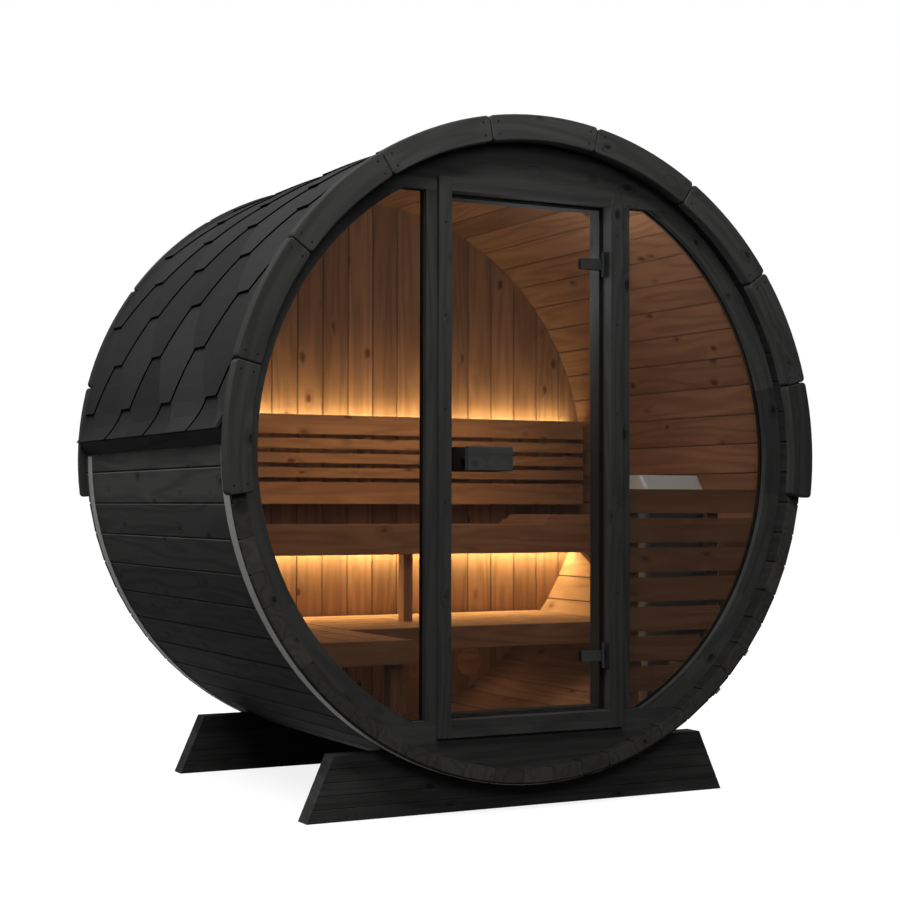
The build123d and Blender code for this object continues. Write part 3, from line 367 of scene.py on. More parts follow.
# The grit is about 1 mm, drawn at 4 mm so that it shows
GRIT_SIZE = 0.004
GRIT_SHARE = 0.5
GRIT_RELIEF = 0.8 * MM
GRIT_STRENGTH = 0.35
GRIT_ROUGHNESS = 0.85
STAIN_SIZE = 0.3
STAIN_SHARE = 0.35
TAB_SHARE = 0.3


def grit(name, light, dark):
    """Bitumen or stone: matt mineral grit, each tab a little lighter or darker."""
    material, output = new_material(name)
    tree = material.node_tree
    place = add(tree, "ShaderNodeTexCoord").outputs["Object"]
    grains = add(tree, "ShaderNodeTexNoise", {"Vector": place, "Scale": 1 / GRIT_SIZE, "Detail": 2.0})
    stain = add(tree, "ShaderNodeTexNoise", {"Vector": place, "Scale": 1 / STAIN_SIZE, "Detail": 3.0})
    tone = add(tree, "ShaderNodeAttribute", attribute_name="tone").outputs["Fac"]
    value = add(tree, "ShaderNodeMath", [grains, GRIT_SHARE], operation="MULTIPLY")
    value = add(tree, "ShaderNodeMath", [stain, STAIN_SHARE, value], operation="MULTIPLY_ADD")
    value = add(tree, "ShaderNodeMath", [tone, TAB_SHARE, value], operation="MULTIPLY_ADD")
    mixed = add(tree, "ShaderNodeMix", {"Factor": value, "A": dark, "B": light}, data_type="RGBA")
    bump = add(tree, "ShaderNodeBump", {
        "Height": grains, "Strength": GRIT_STRENGTH, "Distance": GRIT_RELIEF})
    shader = add(tree, "ShaderNodeBsdfPrincipled", {
        "Base Color": mixed, "Roughness": GRIT_ROUGHNESS, "Normal": bump, "Specular IOR Level": MATT_SHINE})
    add_link(tree, shader, output)
    return material


METAL_CLOUD_SCALE = 0.2
METAL_ROUGHNESS_SPREAD = 0.2
METAL_SHINE = 0.2


def metal(name, colour, roughness, spot, shine, metallic):
    """Metal sheet or casting with a mottled surface of the given spot size."""
    material, output = new_material(name)
    tree = material.node_tree
    place = add(tree, "ShaderNodeTexCoord").outputs["Object"]
    flakes = add(tree, "ShaderNodeTexVoronoi", {"Vector": place, "Scale": 1 / spot})
    cloud = add(tree, "ShaderNodeTexNoise", {
        "Vector": place, "Scale": METAL_CLOUD_SCALE / spot, "Detail": 3.0})
    tint = add(tree, "ShaderNodeMath", [flakes.outputs["Color"], shine, 1 - shine], operation="MULTIPLY_ADD")
    tint = add(tree, "ShaderNodeMath", [cloud, shine, tint], operation="MULTIPLY_ADD")
    mixed = add(tree, "ShaderNodeVectorMath", {0: colour[:3], "Scale": tint}, operation="SCALE")
    least = roughness - METAL_ROUGHNESS_SPREAD / 2
    rough = add(tree, "ShaderNodeMath", [cloud, METAL_ROUGHNESS_SPREAD, least], operation="MULTIPLY_ADD")
    shader = add(tree, "ShaderNodeBsdfPrincipled", {
        "Base Color": mixed, "Roughness": rough, "Metallic": metallic, "Specular IOR Level": METAL_SHINE})
    add_link(tree, shader, output)
    return material


FILM_SIZE = 0.6
FILM_TONES = (0.3, 0.7)
FILM_ROUGHNESS = (0.012, 0.05)
# Lower than real glass, so that the white studio mirrors as faintly as the photo's surroundings do
GLASS_IOR = 1.15


def glass(name, tint):
    """Bronze float glass, toughened: clear straight view through, tinted, with a faint reflection."""
    material, output = new_material(name)
    tree = material.node_tree
    place = add(tree, "ShaderNodeTexCoord").outputs["Object"]
    film = add(tree, "ShaderNodeTexNoise", {"Vector": place, "Scale": 1 / FILM_SIZE, "Detail": 2.0})
    smear = add(tree, "ShaderNodeMapRange", [film, *FILM_TONES, *FILM_ROUGHNESS])
    clear = add(tree, "ShaderNodeBsdfTransparent", {"Color": tint})
    shine = add(tree, "ShaderNodeBsdfGlossy", {"Color": linear("#ffffff"), "Roughness": smear})
    facing = add(tree, "ShaderNodeNewGeometry").outputs["Backfacing"]
    fresnel = add(tree, "ShaderNodeFresnel", {"IOR": GLASS_IOR})
    front = add(tree, "ShaderNodeMath", [1.0, facing], operation="SUBTRACT")
    share = add(tree, "ShaderNodeMath", [fresnel, front], operation="MULTIPLY")
    mixed = add(tree, "ShaderNodeMixShader", [share, clear, shine])
    add_link(tree, mixed, output)
    return material


DIODE_STEP = 17 * MM
DIODE_SHARE = 0.2
STRIP_ROUGHNESS = 0.5


def glow(name, colour, strength):
    """Silicone light strip: a diffuser with the diodes showing as brighter spots."""
    material, output = new_material(name)
    tree = material.node_tree
    place = add(tree, "ShaderNodeTexCoord").outputs["Object"]
    across = add(tree, "ShaderNodeSeparateXYZ", [place]).outputs["X"]
    spots = add(tree, "ShaderNodeMath", [across, math.tau / DIODE_STEP], operation="MULTIPLY")
    spots = add(tree, "ShaderNodeMath", [spots], operation="SINE")
    power = add(tree, "ShaderNodeMath", [spots, DIODE_SHARE * strength, strength], operation="MULTIPLY_ADD")
    shader = add(tree, "ShaderNodeBsdfPrincipled", {
        "Base Color": linear("#f3e3c4"), "Roughness": STRIP_ROUGHNESS, "Emission Color": (*colour, 1.0),
        "Emission Strength": power})
    add_link(tree, shader, output)
    return material


def paint_nodes(names, material):
    """Gives CAD nodes a material in their own slots."""
    for name in names:
        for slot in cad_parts[name].material_slots:
            slot.material = material


def tree_group(name, inputs):
    """An empty geometry tree with a mesh output and named inputs; gives the tree and its input node."""
    tree = bpy.data.node_groups.new(name, "GeometryNodeTree")
    tree.interface.new_socket(name="Mesh", in_out="OUTPUT", socket_type="NodeSocketGeometry")
    tree.interface.new_socket(name="Points", in_out="INPUT", socket_type="NodeSocketGeometry")
    for label, kind in inputs.items():
        tree.interface.new_socket(name=label, in_out="INPUT", socket_type=f"NodeSocket{kind}")
    return tree, tree.nodes.new("NodeGroupInput").outputs


def grown(name, tree, values, host_mesh=None):
    """Runs a geometry tree once and gives its result as a plain mesh object at the origin."""
    host = bpy.data.objects.new(name + "_host", host_mesh or bpy.data.meshes.new(name + "_host"))
    bpy.context.scene.collection.objects.link(host)
    modifier = host.modifiers.new("grow", "NODES")
    modifier.node_group = tree
    for item in tree.interface.items_tree:
        if item.in_out == "INPUT" and item.name in values:
            modifier[item.identifier] = values[item.name]
    graph = bpy.context.evaluated_depsgraph_get()
    mesh = bpy.data.meshes.new_from_object(host.evaluated_get(graph))
    host.modifiers.remove(modifier)
    bpy.data.objects.remove(host)
    mesh.name = name
    piece = bpy.data.objects.new(name, mesh)
    bpy.context.scene.collection.objects.link(piece)
    if not mesh.polygons:
        raise RuntimeError(f"{name} came out empty")
    return piece


SHINGLE_INPUTS = {
    "Side": "Float", "Courses": "Int", "Course Height": "Float", "Tab Pitch": "Float", "Tab Edge": "Float",
    "Slant Run": "Float", "Thickness": "Float", "Bed Radius": "Float", "First Angle": "Float",
    "Eave Angle": "Float", "Kick Angle": "Float", "Kick": "Float", "Tab Centre": "Float",
    "Grit": "Material", "Cut Edge": "Material",
}
SHINGLE_COLUMNS = 167
SHINGLE_ROWS = 7
SHINGLE_LAP = 20 * MM
KICK_CURVE = 2.0
TAB_ROW_STEP = 31.0
TAB_NUMBER_SHIFT = 500.0
TAB_SEED = 4
VERGE_FACING = 0.97
WELD = 0.01 * MM


def shingle_tree():
    """Lapped courses of hexagonal tabs, bent round the barrel and kicked out at the eave."""
    tree, given = tree_group("Hexagonal shingles", SHINGLE_INPUTS)
    line = add(tree, "GeometryNodeMeshLine", {"Count": given["Courses"], "Offset": (0.0, 0.0, 0.0)})
    number = add(tree, "GeometryNodeInputIndex")
    line = add(tree, "GeometryNodeStoreNamedAttribute", {
        "Geometry": line, "Name": "course", "Value": number})
    sheet = add(tree, "GeometryNodeMeshGrid", {"Vertices X": SHINGLE_COLUMNS, "Vertices Y": SHINGLE_ROWS})
    sheets = add(tree, "GeometryNodeInstanceOnPoints", {"Points": line, "Instance": sheet})
    sheets = add(tree, "GeometryNodeRealizeInstances", [sheets])
    share = add(tree, "ShaderNodeSeparateXYZ", [add(tree, "GeometryNodeInputPosition")])
    length = STAVE_REAR - STAVE_FRONT
    middle = (STAVE_REAR + STAVE_FRONT) / 2
    y = add(tree, "ShaderNodeMath", [share.outputs["X"], length, middle], operation="MULTIPLY_ADD")
    up = add(tree, "ShaderNodeMath", [share.outputs["Y"], 0.5], operation="ADD")
    course = add(tree, "GeometryNodeInputNamedAttribute", {"Name": "course"}, data_type="FLOAT").outputs[0]
    # Every other course is shifted by half a tab
    odd = add(tree, "ShaderNodeMath", [course, 2.0], operation="MODULO")
    half_pitch = add(tree, "ShaderNodeMath", [given["Tab Pitch"], 0.5], operation="MULTIPLY")
    minus_half = add(tree, "ShaderNodeMath", [half_pitch, -1.0], operation="MULTIPLY")
    shift = add(tree, "ShaderNodeMath", [odd, half_pitch, given["Tab Centre"]], operation="MULTIPLY_ADD")
    along = add(tree, "ShaderNodeMath", [y, shift], operation="SUBTRACT")
    off = add(tree, "ShaderNodeMath", [along, half_pitch, minus_half], operation="WRAP")
    off = add(tree, "ShaderNodeMath", [off], operation="ABSOLUTE")
    half_edge = add(tree, "ShaderNodeMath", [given["Tab Edge"], 0.5], operation="MULTIPLY")
    off = add(tree, "ShaderNodeMath", [off, half_edge], operation="SUBTRACT")
    off = add(tree, "ShaderNodeMath", [off, given["Slant Run"]], operation="DIVIDE", use_clamp=True)
    notch = add(tree, "ShaderNodeMath", [off, given["Course Height"]], operation="MULTIPLY")
    # Lower edge of each course, cut off straight at the eave, and upper edge, cut off at the ridge
    turn = add(tree, "ShaderNodeMath", [given["Course Height"], given["Bed Radius"]], operation="DIVIDE")
    climb = add(tree, "ShaderNodeMath", [course, turn], operation="MULTIPLY")
    low = add(tree, "ShaderNodeMath", [given["First Angle"], climb], operation="SUBTRACT")
    past = add(tree, "ShaderNodeMath", [low, given["Eave Angle"]], operation="SUBTRACT")
    past = add(tree, "ShaderNodeMath", [past, given["Bed Radius"]], operation="MULTIPLY")
    foot = add(tree, "ShaderNodeMath", [notch, past], operation="MAXIMUM")
    head = add(tree, "ShaderNodeMath", [given["Course Height"], 2.0, SHINGLE_LAP], operation="MULTIPLY_ADD")
    ridge = add(tree, "ShaderNodeMath", [low, given["Bed Radius"]], operation="MULTIPLY")
    head = add(tree, "ShaderNodeMath", [head, ridge], operation="MINIMUM")
    rise = add(tree, "ShaderNodeMath", [head, foot], operation="SUBTRACT")
    climbed = add(tree, "ShaderNodeMath", [rise, up, foot], operation="MULTIPLY_ADD")
    angle = add(tree, "ShaderNodeMath", [climbed, given["Bed Radius"]], operation="DIVIDE")
    angle = add(tree, "ShaderNodeMath", [low, angle], operation="SUBTRACT")
    # Each sheet lies on the two below it
    sink = add(tree, "ShaderNodeMath", [climbed, given["Course Height"]], operation="DIVIDE")
    sink = add(tree, "ShaderNodeMath", [2.0, sink], operation="SUBTRACT")
    sink = add(tree, "ShaderNodeMath", [sink, 0.0], operation="MAXIMUM")
    radius = add(tree, "ShaderNodeMath", [sink, given["Thickness"], given["Bed Radius"]],
                 operation="MULTIPLY_ADD")
    flare = add(tree, "ShaderNodeMapRange", [angle, given["Kick Angle"], given["Eave Angle"], 0.0, 1.0])
    flare = add(tree, "ShaderNodeMath", [flare, KICK_CURVE], operation="POWER")
    radius = add(tree, "ShaderNodeMath", [flare, given["Kick"], radius], operation="MULTIPLY_ADD")
    sine = add(tree, "ShaderNodeMath", [angle], operation="SINE")
    cosine = add(tree, "ShaderNodeMath", [angle], operation="COSINE")
    x = add(tree, "ShaderNodeMath", [sine, radius], operation="MULTIPLY")
    x = add(tree, "ShaderNodeMath", [x, given["Side"]], operation="MULTIPLY")
    z = add(tree, "ShaderNodeMath", [cosine, radius, AXIS_HEIGHT], operation="MULTIPLY_ADD")
    # Each tab gets its own tone before it is bent
    tab = add(tree, "ShaderNodeMath", [along, given["Tab Pitch"]], operation="DIVIDE")
    tab = add(tree, "ShaderNodeMath", [tab], operation="ROUND")
    tab = add(tree, "ShaderNodeMath", [course, TAB_ROW_STEP, tab], operation="MULTIPLY_ADD")
    tab = add(tree, "ShaderNodeMath", [tab, TAB_NUMBER_SHIFT], operation="ADD")
    tone = add(tree, "FunctionNodeRandomValue", {"ID": tab, "Seed": TAB_SEED}, data_type="FLOAT")
    sheets = add(tree, "GeometryNodeStoreNamedAttribute", {
        "Geometry": sheets, "Name": "tone", "Value": tone}, data_type="FLOAT", domain="FACE")
    place = add(tree, "ShaderNodeCombineXYZ", [x, y, z])
    bent = add(tree, "GeometryNodeSetPosition", {"Geometry": sheets, "Position": place})
    flipped = add(tree, "GeometryNodeFlipFaces", [bent])
    right = add(tree, "FunctionNodeCompare", [given["Side"], 0.0], data_type="FLOAT",
                operation="GREATER_THAN")
    outward = add(tree, "GeometryNodeSwitch", {"Switch": right, "False": flipped, "True": bent},
                  input_type="GEOMETRY")
    inward = add(tree, "GeometryNodeSwitch", {"Switch": right, "False": bent, "True": flipped},
                 input_type="GEOMETRY")
    thick = add(tree, "GeometryNodeExtrudeMesh", {
        "Mesh": outward, "Offset Scale": given["Thickness"], "Individual": False})
    # Lower and slanted edges and the backs are bare black bitumen, darkened further as a painted shadow
    # line; the ends at the trim rings stay gritty
    facing = add(tree, "ShaderNodeSeparateXYZ", [add(tree, "GeometryNodeInputNormal")]).outputs["Y"]
    facing = add(tree, "ShaderNodeMath", [facing], operation="ABSOLUTE")
    facing = add(tree, "FunctionNodeCompare", [facing, VERGE_FACING], data_type="FLOAT",
                 operation="LESS_THAN")
    edges = add(tree, "FunctionNodeBooleanMath", [thick.outputs["Side"], facing], operation="AND")
    marked = add(tree, "GeometryNodeStoreNamedAttribute", {
        "Geometry": thick, "Name": "cut", "Value": edges}, data_type="BOOLEAN", domain="FACE")
    backs = add(tree, "GeometryNodeStoreNamedAttribute", {
        "Geometry": inward, "Name": "cut", "Value": True}, data_type="BOOLEAN", domain="FACE")
    both = add(tree, "GeometryNodeJoinGeometry")
    tree.links.new(marked.outputs[0], both.inputs[0])
    tree.links.new(backs.outputs[0], both.inputs[0])
    whole = add(tree, "GeometryNodeMergeByDistance", {"Geometry": both, "Distance": WELD})
    whole = add(tree, "GeometryNodeRealizeInstances", [whole])
    whole = add(tree, "GeometryNodeSetMaterial", {"Geometry": whole, "Material": given["Grit"]})
    cut = add(tree, "GeometryNodeInputNamedAttribute", {"Name": "cut"}, data_type="BOOLEAN")
    whole = add(tree, "GeometryNodeSetMaterial", {
        "Geometry": whole, "Selection": next(s for s in cut.outputs if s.enabled),
        "Material": given["Cut Edge"]})
    add(tree, "NodeGroupOutput", [whole])
    return tree


SCREW_INPUTS = {"Head Radius": "Float", "Head Height": "Float", "Steel": "Material"}
SCREW_SIDES = 12
SCREW_RADIUS = 3.6 * MM
SCREW_HEIGHT = 0.8 * MM
SCREW_DRIVE_SHARE = 0.5


def screw_tree():
    """A small round screw head with a sunk drive on every point, facing the way that the point says."""
    tree, given = tree_group("Screw heads", SCREW_INPUTS)
    head = add(tree, "GeometryNodeMeshCylinder", {
        "Vertices": SCREW_SIDES, "Radius": given["Head Radius"], "Depth": given["Head Height"]},
        fill_type="NGON")
    drive = add(tree, "GeometryNodeExtrudeMesh", {
        "Mesh": head.outputs["Mesh"], "Selection": head.outputs["Top"], "Offset Scale": 0.0})
    drive = add(tree, "GeometryNodeScaleElements", {
        "Geometry": drive.outputs["Mesh"], "Selection": drive.outputs["Top"], "Scale": SCREW_DRIVE_SHARE})
    way = add(tree, "GeometryNodeInputNamedAttribute", {"Name": "facing"}, data_type="FLOAT_VECTOR")
    turn = add(tree, "FunctionNodeAlignRotationToVector", {
        "Vector": next(s for s in way.outputs if s.enabled)}, axis="Z")
    heads = add(tree, "GeometryNodeInstanceOnPoints", {
        "Points": given["Points"], "Instance": drive, "Rotation": turn})
    heads = add(tree, "GeometryNodeRealizeInstances", [heads])
    heads = add(tree, "GeometryNodeSetMaterial", {"Geometry": heads, "Material": given["Steel"]})
    add(tree, "NodeGroupOutput", [heads])
    return tree


STONE_LEAST = (0.75, 0.75, 0.6)
STONE_MOST = (1.2, 1.1, 0.95)
STONE_LUMPS = 38.0
STONE_LUMP_LEVEL = 0.45
STONE_DETAIL = 3
STONE_INPUTS = {"Stone Size": "Float", "Roughness": "Float", "Seed": "Int", "Stone": "Material"}


def stone_tree():
    """Broken stones of uneven size and shape on every point."""
    tree, given = tree_group("Heater stones", STONE_INPUTS)
    ball = add(tree, "GeometryNodeMeshIcoSphere", {
        "Radius": given["Stone Size"], "Subdivisions": STONE_DETAIL})
    turn = add(tree, "FunctionNodeRandomValue", {
        "Max": (math.tau, math.tau, math.tau), "Seed": given["Seed"]}, data_type="FLOAT_VECTOR")
    scale = add(tree, "FunctionNodeRandomValue", {
        "Min": STONE_LEAST, "Max": STONE_MOST, "Seed": given["Seed"]}, data_type="FLOAT_VECTOR")
    stones = add(tree, "GeometryNodeInstanceOnPoints", {
        "Points": given["Points"], "Instance": ball, "Rotation": turn, "Scale": scale})
    stones = add(tree, "GeometryNodeRealizeInstances", [stones])
    lumps = add(tree, "ShaderNodeTexVoronoi", {"Scale": STONE_LUMPS}, feature="F1")
    push = add(tree, "ShaderNodeMath", [lumps.outputs["Distance"], -STONE_LUMP_LEVEL], operation="ADD")
    push = add(tree, "ShaderNodeMath", [push, given["Roughness"]], operation="MULTIPLY")
    normal = add(tree, "GeometryNodeInputNormal")
    push = add(tree, "ShaderNodeVectorMath", {0: normal, "Scale": push}, operation="SCALE")
    stones = add(tree, "GeometryNodeSetPosition", {"Geometry": stones, "Offset": push})
    stones = add(tree, "GeometryNodeSetMaterial", {"Geometry": stones, "Material": given["Stone"]})
    add(tree, "NodeGroupOutput", [stones])
    return tree


def box_centre(node):
    """The middle of a CAD node's box."""
    return sum(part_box(node), Vector()) / 2


def seat_piece(piece, body, slot, *nodes):
    """Rides a finished piece on its body and hides the nodes that it stands for; slot, the name of its
    finish, is not used.
    """
    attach(piece, body)
    if nodes:
        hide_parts(*nodes)
    return piece


# Pitch of the staves, the trim boards and the rear wall's boards, as in the CAD
STAVE_STEP = math.radians(6)
TRIM_STEP = math.radians(21.71)
WALL_BOARD = 0.1

# CAD nodes by finish: material name, way of the grain, what is counted as boards, skin, brightness, nodes
TIMBERS = (
    # Black stain with the grain and knots showing through outside, warm pine inside
    ("Stave pine, stained outside", "Y", ("angle", STAVE_STEP), "stave", 1.0,
     [f"staves_{number}" for number in range(1, 7)]),
    # The same stain with the grain bent round the barrel: the pale edge of the dark ring
    ("Stained trim board", "ring", ("angle", TRIM_STEP), "stained", 1.0, ["front_trim", "rear_trim"]),
    ("Stained rim board", "ring", ("angle", TRIM_STEP), "front wall", 1.0,
     ["window_rim_left", "window_rim_right"]),
    # The front wall and the door frame: dark even bars that the glow stands out against
    ("Stained wall board", "X", ("Z", 0.14), "front wall", 1.0, ["front_wall_head", "front_wall_foot"]),
    ("Stained stile", "Z", ("X", 0.5), "front wall", 1.0, ["window_stile_left", "window_stile_right"]),
    ("Stained upright", "Z", ("X", 0.5), "stained", 1.0, ["door_jamb_left", "door_jamb_right"]),
    ("Stained rail", "X", ("Z", 0.5), "stained", 1.0, ["door_head", "door_sill", "door_handle"]),
    # Rougher boards under the barrel, each with its own tone
    ("Stained cradle board", "X", ("Z", 0.038), "stained", 1.0, ["cradle_front", "cradle_rear"]),
    # Nearly black, a painted shadow: the shade line under the roof's lower edge
    ("Batten blackened by bitumen", "Y", ("X", 1.0), "stained", 0.15, ["eave_battens"]),
    # Upright boards, black outside and glowing brown inside
    ("Rear wall board, stained outside", "Z", ("X", WALL_BOARD), "rear wall", 1.0, ["rear_wall"]),
    # Warm brown, satin, knotty: gives the room its colour
    ("Heat-treated pine, lengthwise", "X", ("Z", 0.09), "bare", 1.0,
     ["upper_bench", "lower_bench", "bench_ledgers", "bench_gussets", "headrest", "backrest",
      "guard_slats"]),
    ("Heat-treated pine, upright", "Z", ("X", 0.2), "bare", 1.0,
     ["bench_posts", "backrest_uprights", "guard_posts"]),
    ("Heat-treated pine, front to back", "Y", ("X", 0.2), "bare", 1.0, ["bench_bearers"]),
    # Paler than the wall behind it, so that the round vent shows in the dark under the bench
    ("Turned pine vent", "X", ("Z", 0.5), "rear wall", 1.6, ["wall_vent"]),
)

# CAD nodes by finish: material name, colour, roughness, spot size, spot strength, metallic share, nodes
METALS = (
    # Dull zinc spangle: a pale line against the black staves
    ("Hot-dip galvanised steel", linear("#7e7f7c"), 0.65, 9 * MM, 0.18, 0.25, ["hoop_front", "hoop_rear"]),
    # Even satin black, seen by its soft highlights
    ("Powder-coated steel, black", linear("#1c1d1d"), 0.5, 1 * MM, 0.1, 0.0,
     ["hinge_clamps", "hinge_brackets"]),
    # Pale sheet that catches the room's light behind the right window
    ("Brushed stainless sheet", linear("#d2d2d0"), 0.5, 3 * MM, 0.1, 0.25,
     ["heater_hopper", "heater_shield"]),
    # Flat mid grey behind the guard's slats
    ("Heat-proof painted sheet", linear("#80848a"), 0.5, 2 * MM, 0.1, 0.3,
     ["heater_housing", "heater_tray", "heater_feet"]),
)


class SAUNA_OT_timber(bpy.types.Operator):
    """Give every timber node its stained or heat-treated finish"""
    bl_idname = "sauna.timber"
    bl_label = "Finish the timber"

    def execute(self, context):
        look = context.scene.sauna_timber
        for name, along, boards, skin, gain, nodes in TIMBERS:
            paint_nodes(nodes, timber(name, along, boards, skin, gain, look))
        return {"FINISHED"}


class SAUNA_OT_metalwork(bpy.types.Operator):
    """Give hoops, hinges and the heater their metal finishes"""
    bl_idname = "sauna.metalwork"
    bl_label = "Finish the metalwork"

    def execute(self, context):
        for *finish, nodes in METALS:
            paint_nodes(nodes, metal(*finish))
        return {"FINISHED"}


class SAUNA_OT_glazing(bpy.types.Operator):
    """Give the windows and the door their bronze glass"""
    bl_idname = "sauna.glazing"
    bl_label = "Glaze the front"

    def execute(self, context):
        # A slight brown-grey dimming of the room, with a faint mirror of the studio
        pane = glass("Bronze toughened glass", linear("#dcd9d6"))
        paint_nodes(["window_glass_left", "window_glass_right", "door_glass"], pane)
        return {"FINISHED"}


# Lamps inside, in metres
STRIP_GLOW = 1.5
STRIP_LENGTH_SHARE = 0.97
STRIP_DEPTH = 12 * MM
STRIP_CLEARANCE = 2 * MM
UPPER_STRIP_WAY = Vector((0, 0.7, 1))
LOWER_STRIP_WAY = Vector((0, -0.5, -1))
LINE_WIDTH = 2 * MM
LINE_RISE = 4 * MM
LINE_BACK = 10 * MM
ROOM_LAMP_BACK = 0.15
ROOM_LAMP_RISE = 0.68
ROOM_LAMP_SIZE = (1.2, 0.1)
ROOM_LAMP_SPREAD = math.radians(54)
FLOOR_LAMP_PLACE = (0.1, -0.2)
FLOOR_LAMP_SIZE = (0.7, 0.5)
FLOOR_LAMP_DROP = 20 * MM
AIR_BULB_PLACE = Vector((0.1, -0.42, AXIS_HEIGHT + 0.58))
AIR_BULB_RADIUS = 0.2
UNDER_BULB_SIDE = 0.1
UNDER_BULB_BACK = 0.35
UNDER_BULB_DROP = 60 * MM
UNDER_BULB_RADIUS = 0.1
UP = Vector((0, 0, 1))
REARWARD = Vector((0, 1, 0))


class SAUNA_OT_strips(bpy.types.Operator):
    """Light the two warm strips"""
    bl_idname = "sauna.strips"
    bl_label = "Light the strips"

    def execute(self, context):
        levels = context.scene.sauna_light
        # A warm white line with brighter dots, the only bright thing inside
        paint_nodes(["light_strips"], glow("Warm light strip", tuple(levels.strip_colour), STRIP_GLOW))
        low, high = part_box("light_strips")
        width = (high.x - low.x) * STRIP_LENGTH_SHARE
        upper = Vector((0, low.y + 2 * STRIP_DEPTH, high.z + STRIP_CLEARANCE))
        lower = Vector((0, high.y - STRIP_DEPTH, low.z - STRIP_CLEARANCE))
        room = Vector((0, FRONT_WALL[1].y + ROOM_LAMP_BACK, AXIS_HEIGHT + ROOM_LAMP_RISE))
        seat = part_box("lower_bench")[0].z - FLOOR_LAMP_DROP
        step = Vector((*FLOOR_LAMP_PLACE, seat))
        line = Vector((0, REAR_WALL[0].y - LINE_BACK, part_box("backrest")[1].z + LINE_RISE))
        vent = box_centre("wall_vent")
        under = Vector((vent.x - UNDER_BULB_SIDE, UNDER_BULB_BACK, seat - UNDER_BULB_DROP))
        add_lamp("upper_strip", upper, upper + UPPER_STRIP_WAY, (width, STRIP_DEPTH), levels.upper_strip,
                 levels.strip_colour)
        add_lamp("lower_strip", lower, lower + LOWER_STRIP_WAY, (width, STRIP_DEPTH), levels.lower_strip,
                 levels.strip_colour)
        lamp = add_lamp("room", room, box_centre("backrest"), ROOM_LAMP_SIZE, levels.room,
                        levels.room_colour)
        lamp.data.spread = ROOM_LAMP_SPREAD
        add_lamp("floor", step, step - UP, FLOOR_LAMP_SIZE, levels.floor, levels.room_colour)
        add_lamp("upper_line", line, line + REARWARD, (width, LINE_WIDTH), levels.line, levels.line_colour)
        add_bulb("air", AIR_BULB_PLACE, AIR_BULB_RADIUS, levels.air, levels.air_colour)
        add_bulb("under", under, UNDER_BULB_RADIUS, levels.under, levels.room_colour)
        return {"FINISHED"}


BED_SINK = 1 * MM
RIDGE_BED_SHEETS = 3


class SAUNA_OT_shingles(bpy.types.Operator):
    """Lay the hexagonal shingles on both slopes and the caps along the ridge"""
    bl_idname = "sauna.shingles"
    bl_label = "Shingle the roof"

    def execute(self, context):
        sizes = context.scene.sauna_shingles
        # Matt black tabs that differ a little in tone, so that the hexagons read from afar
        top = grit("Mineral-gritted bitumen shingle", linear("#343434"), linear("#151515"))
        # Deep black, bare bitumen with a painted shadow: draws a thin line round every tab
        cut = grit("Cut bitumen edge", linear("#050505"), linear("#030303"))
        bed = BARREL_RADIUS - BED_SINK
        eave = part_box("roof_right")[1].x / math.sin(sizes.eave_angle)
        values = {
            "Courses": sizes.courses, "Course Height": sizes.course, "Tab Pitch": sizes.pitch,
            "Tab Edge": sizes.edge, "Slant Run": sizes.slant, "Thickness": sizes.thickness,
            "Bed Radius": bed, "First Angle": sizes.first_angle, "Eave Angle": sizes.eave_angle,
            "Kick Angle": sizes.arc_angle, "Kick": eave - ROOF_RADIUS, "Tab Centre": sizes.centre,
            "Grit": top, "Cut Edge": cut,
        }
        tree = shingle_tree()
        for name, side in (("left", -1.0), ("right", 1.0)):
            piece = grown(f"shingles_{name}", tree, {**values, "Side": side})
            seat_piece(piece, "cabin", "bitumen_shingle", f"roof_{name}")
        caps = ridge_caps(bed + RIDGE_BED_SHEETS * sizes.thickness, sizes.thickness)
        caps.data.materials.append(top)
        seat_piece(caps, "cabin", "bitumen_shingle", "roof_top")
        return {"FINISHED"}


RIDGE_CAPS = 7
RIDGE_HALF_ANGLE = math.radians(9.5)
RIDGE_STEPS = 8
RIDGE_LAP_SHARE = 0.22
RIDGE_SEAT = 0.2 * MM
RIDGE_TONE_STEP = 0.37


def ridge_caps(radius, thickness):
    """A row of lapped caps bent over the ridge, each lying on the next one's front end."""
    exposed = (STAVE_REAR - STAVE_FRONT) / RIDGE_CAPS
    verts = []
    faces = []
    for cap in range(RIDGE_CAPS):
        front = STAVE_FRONT + cap * exposed
        back = min(front + exposed * (1 + RIDGE_LAP_SHARE), STAVE_REAR)
        first = len(verts)
        for lift_front, lift_back in ((thickness, RIDGE_SEAT), (2 * thickness, thickness)):
            for y, lift in ((front, lift_front), (back, lift_back)):
                for step in range(RIDGE_STEPS + 1):
                    angle = RIDGE_HALF_ANGLE * (2 * step / RIDGE_STEPS - 1)
                    reach = radius + lift
                    verts.append((reach * math.sin(angle), y, AXIS_HEIGHT + reach * math.cos(angle)))
        row = RIDGE_STEPS + 1
        low_front, low_back, top_front, top_back = (first + row * n for n in range(4))
        for step in range(RIDGE_STEPS):
            faces.append((top_front + step, top_front + step + 1, top_back + step + 1, top_back + step))
            faces.append((low_front + step, low_back + step, low_back + step + 1, low_front + step + 1))
            faces.append((low_front + step, low_front + step + 1, top_front + step + 1, top_front + step))
            faces.append((low_back + step, top_back + step, top_back + step + 1, low_back + step + 1))
        faces.append((low_front, top_front, top_back, low_back))
        last = RIDGE_STEPS
        faces.append((low_front + last, low_back + last, top_back + last, top_front + last))
    mesh = bpy.data.meshes.new("ridge_caps")
    mesh.from_pydata(verts, [], faces)
    tones = mesh.attributes.new("tone", "FLOAT", "FACE")
    each = len(faces) // RIDGE_CAPS
    tones.data.foreach_set("value", [number // each * RIDGE_TONE_STEP % 1 for number in range(len(faces))])
    piece = bpy.data.objects.new("ridge_caps", mesh)
    bpy.context.scene.collection.objects.link(piece)
    return piece


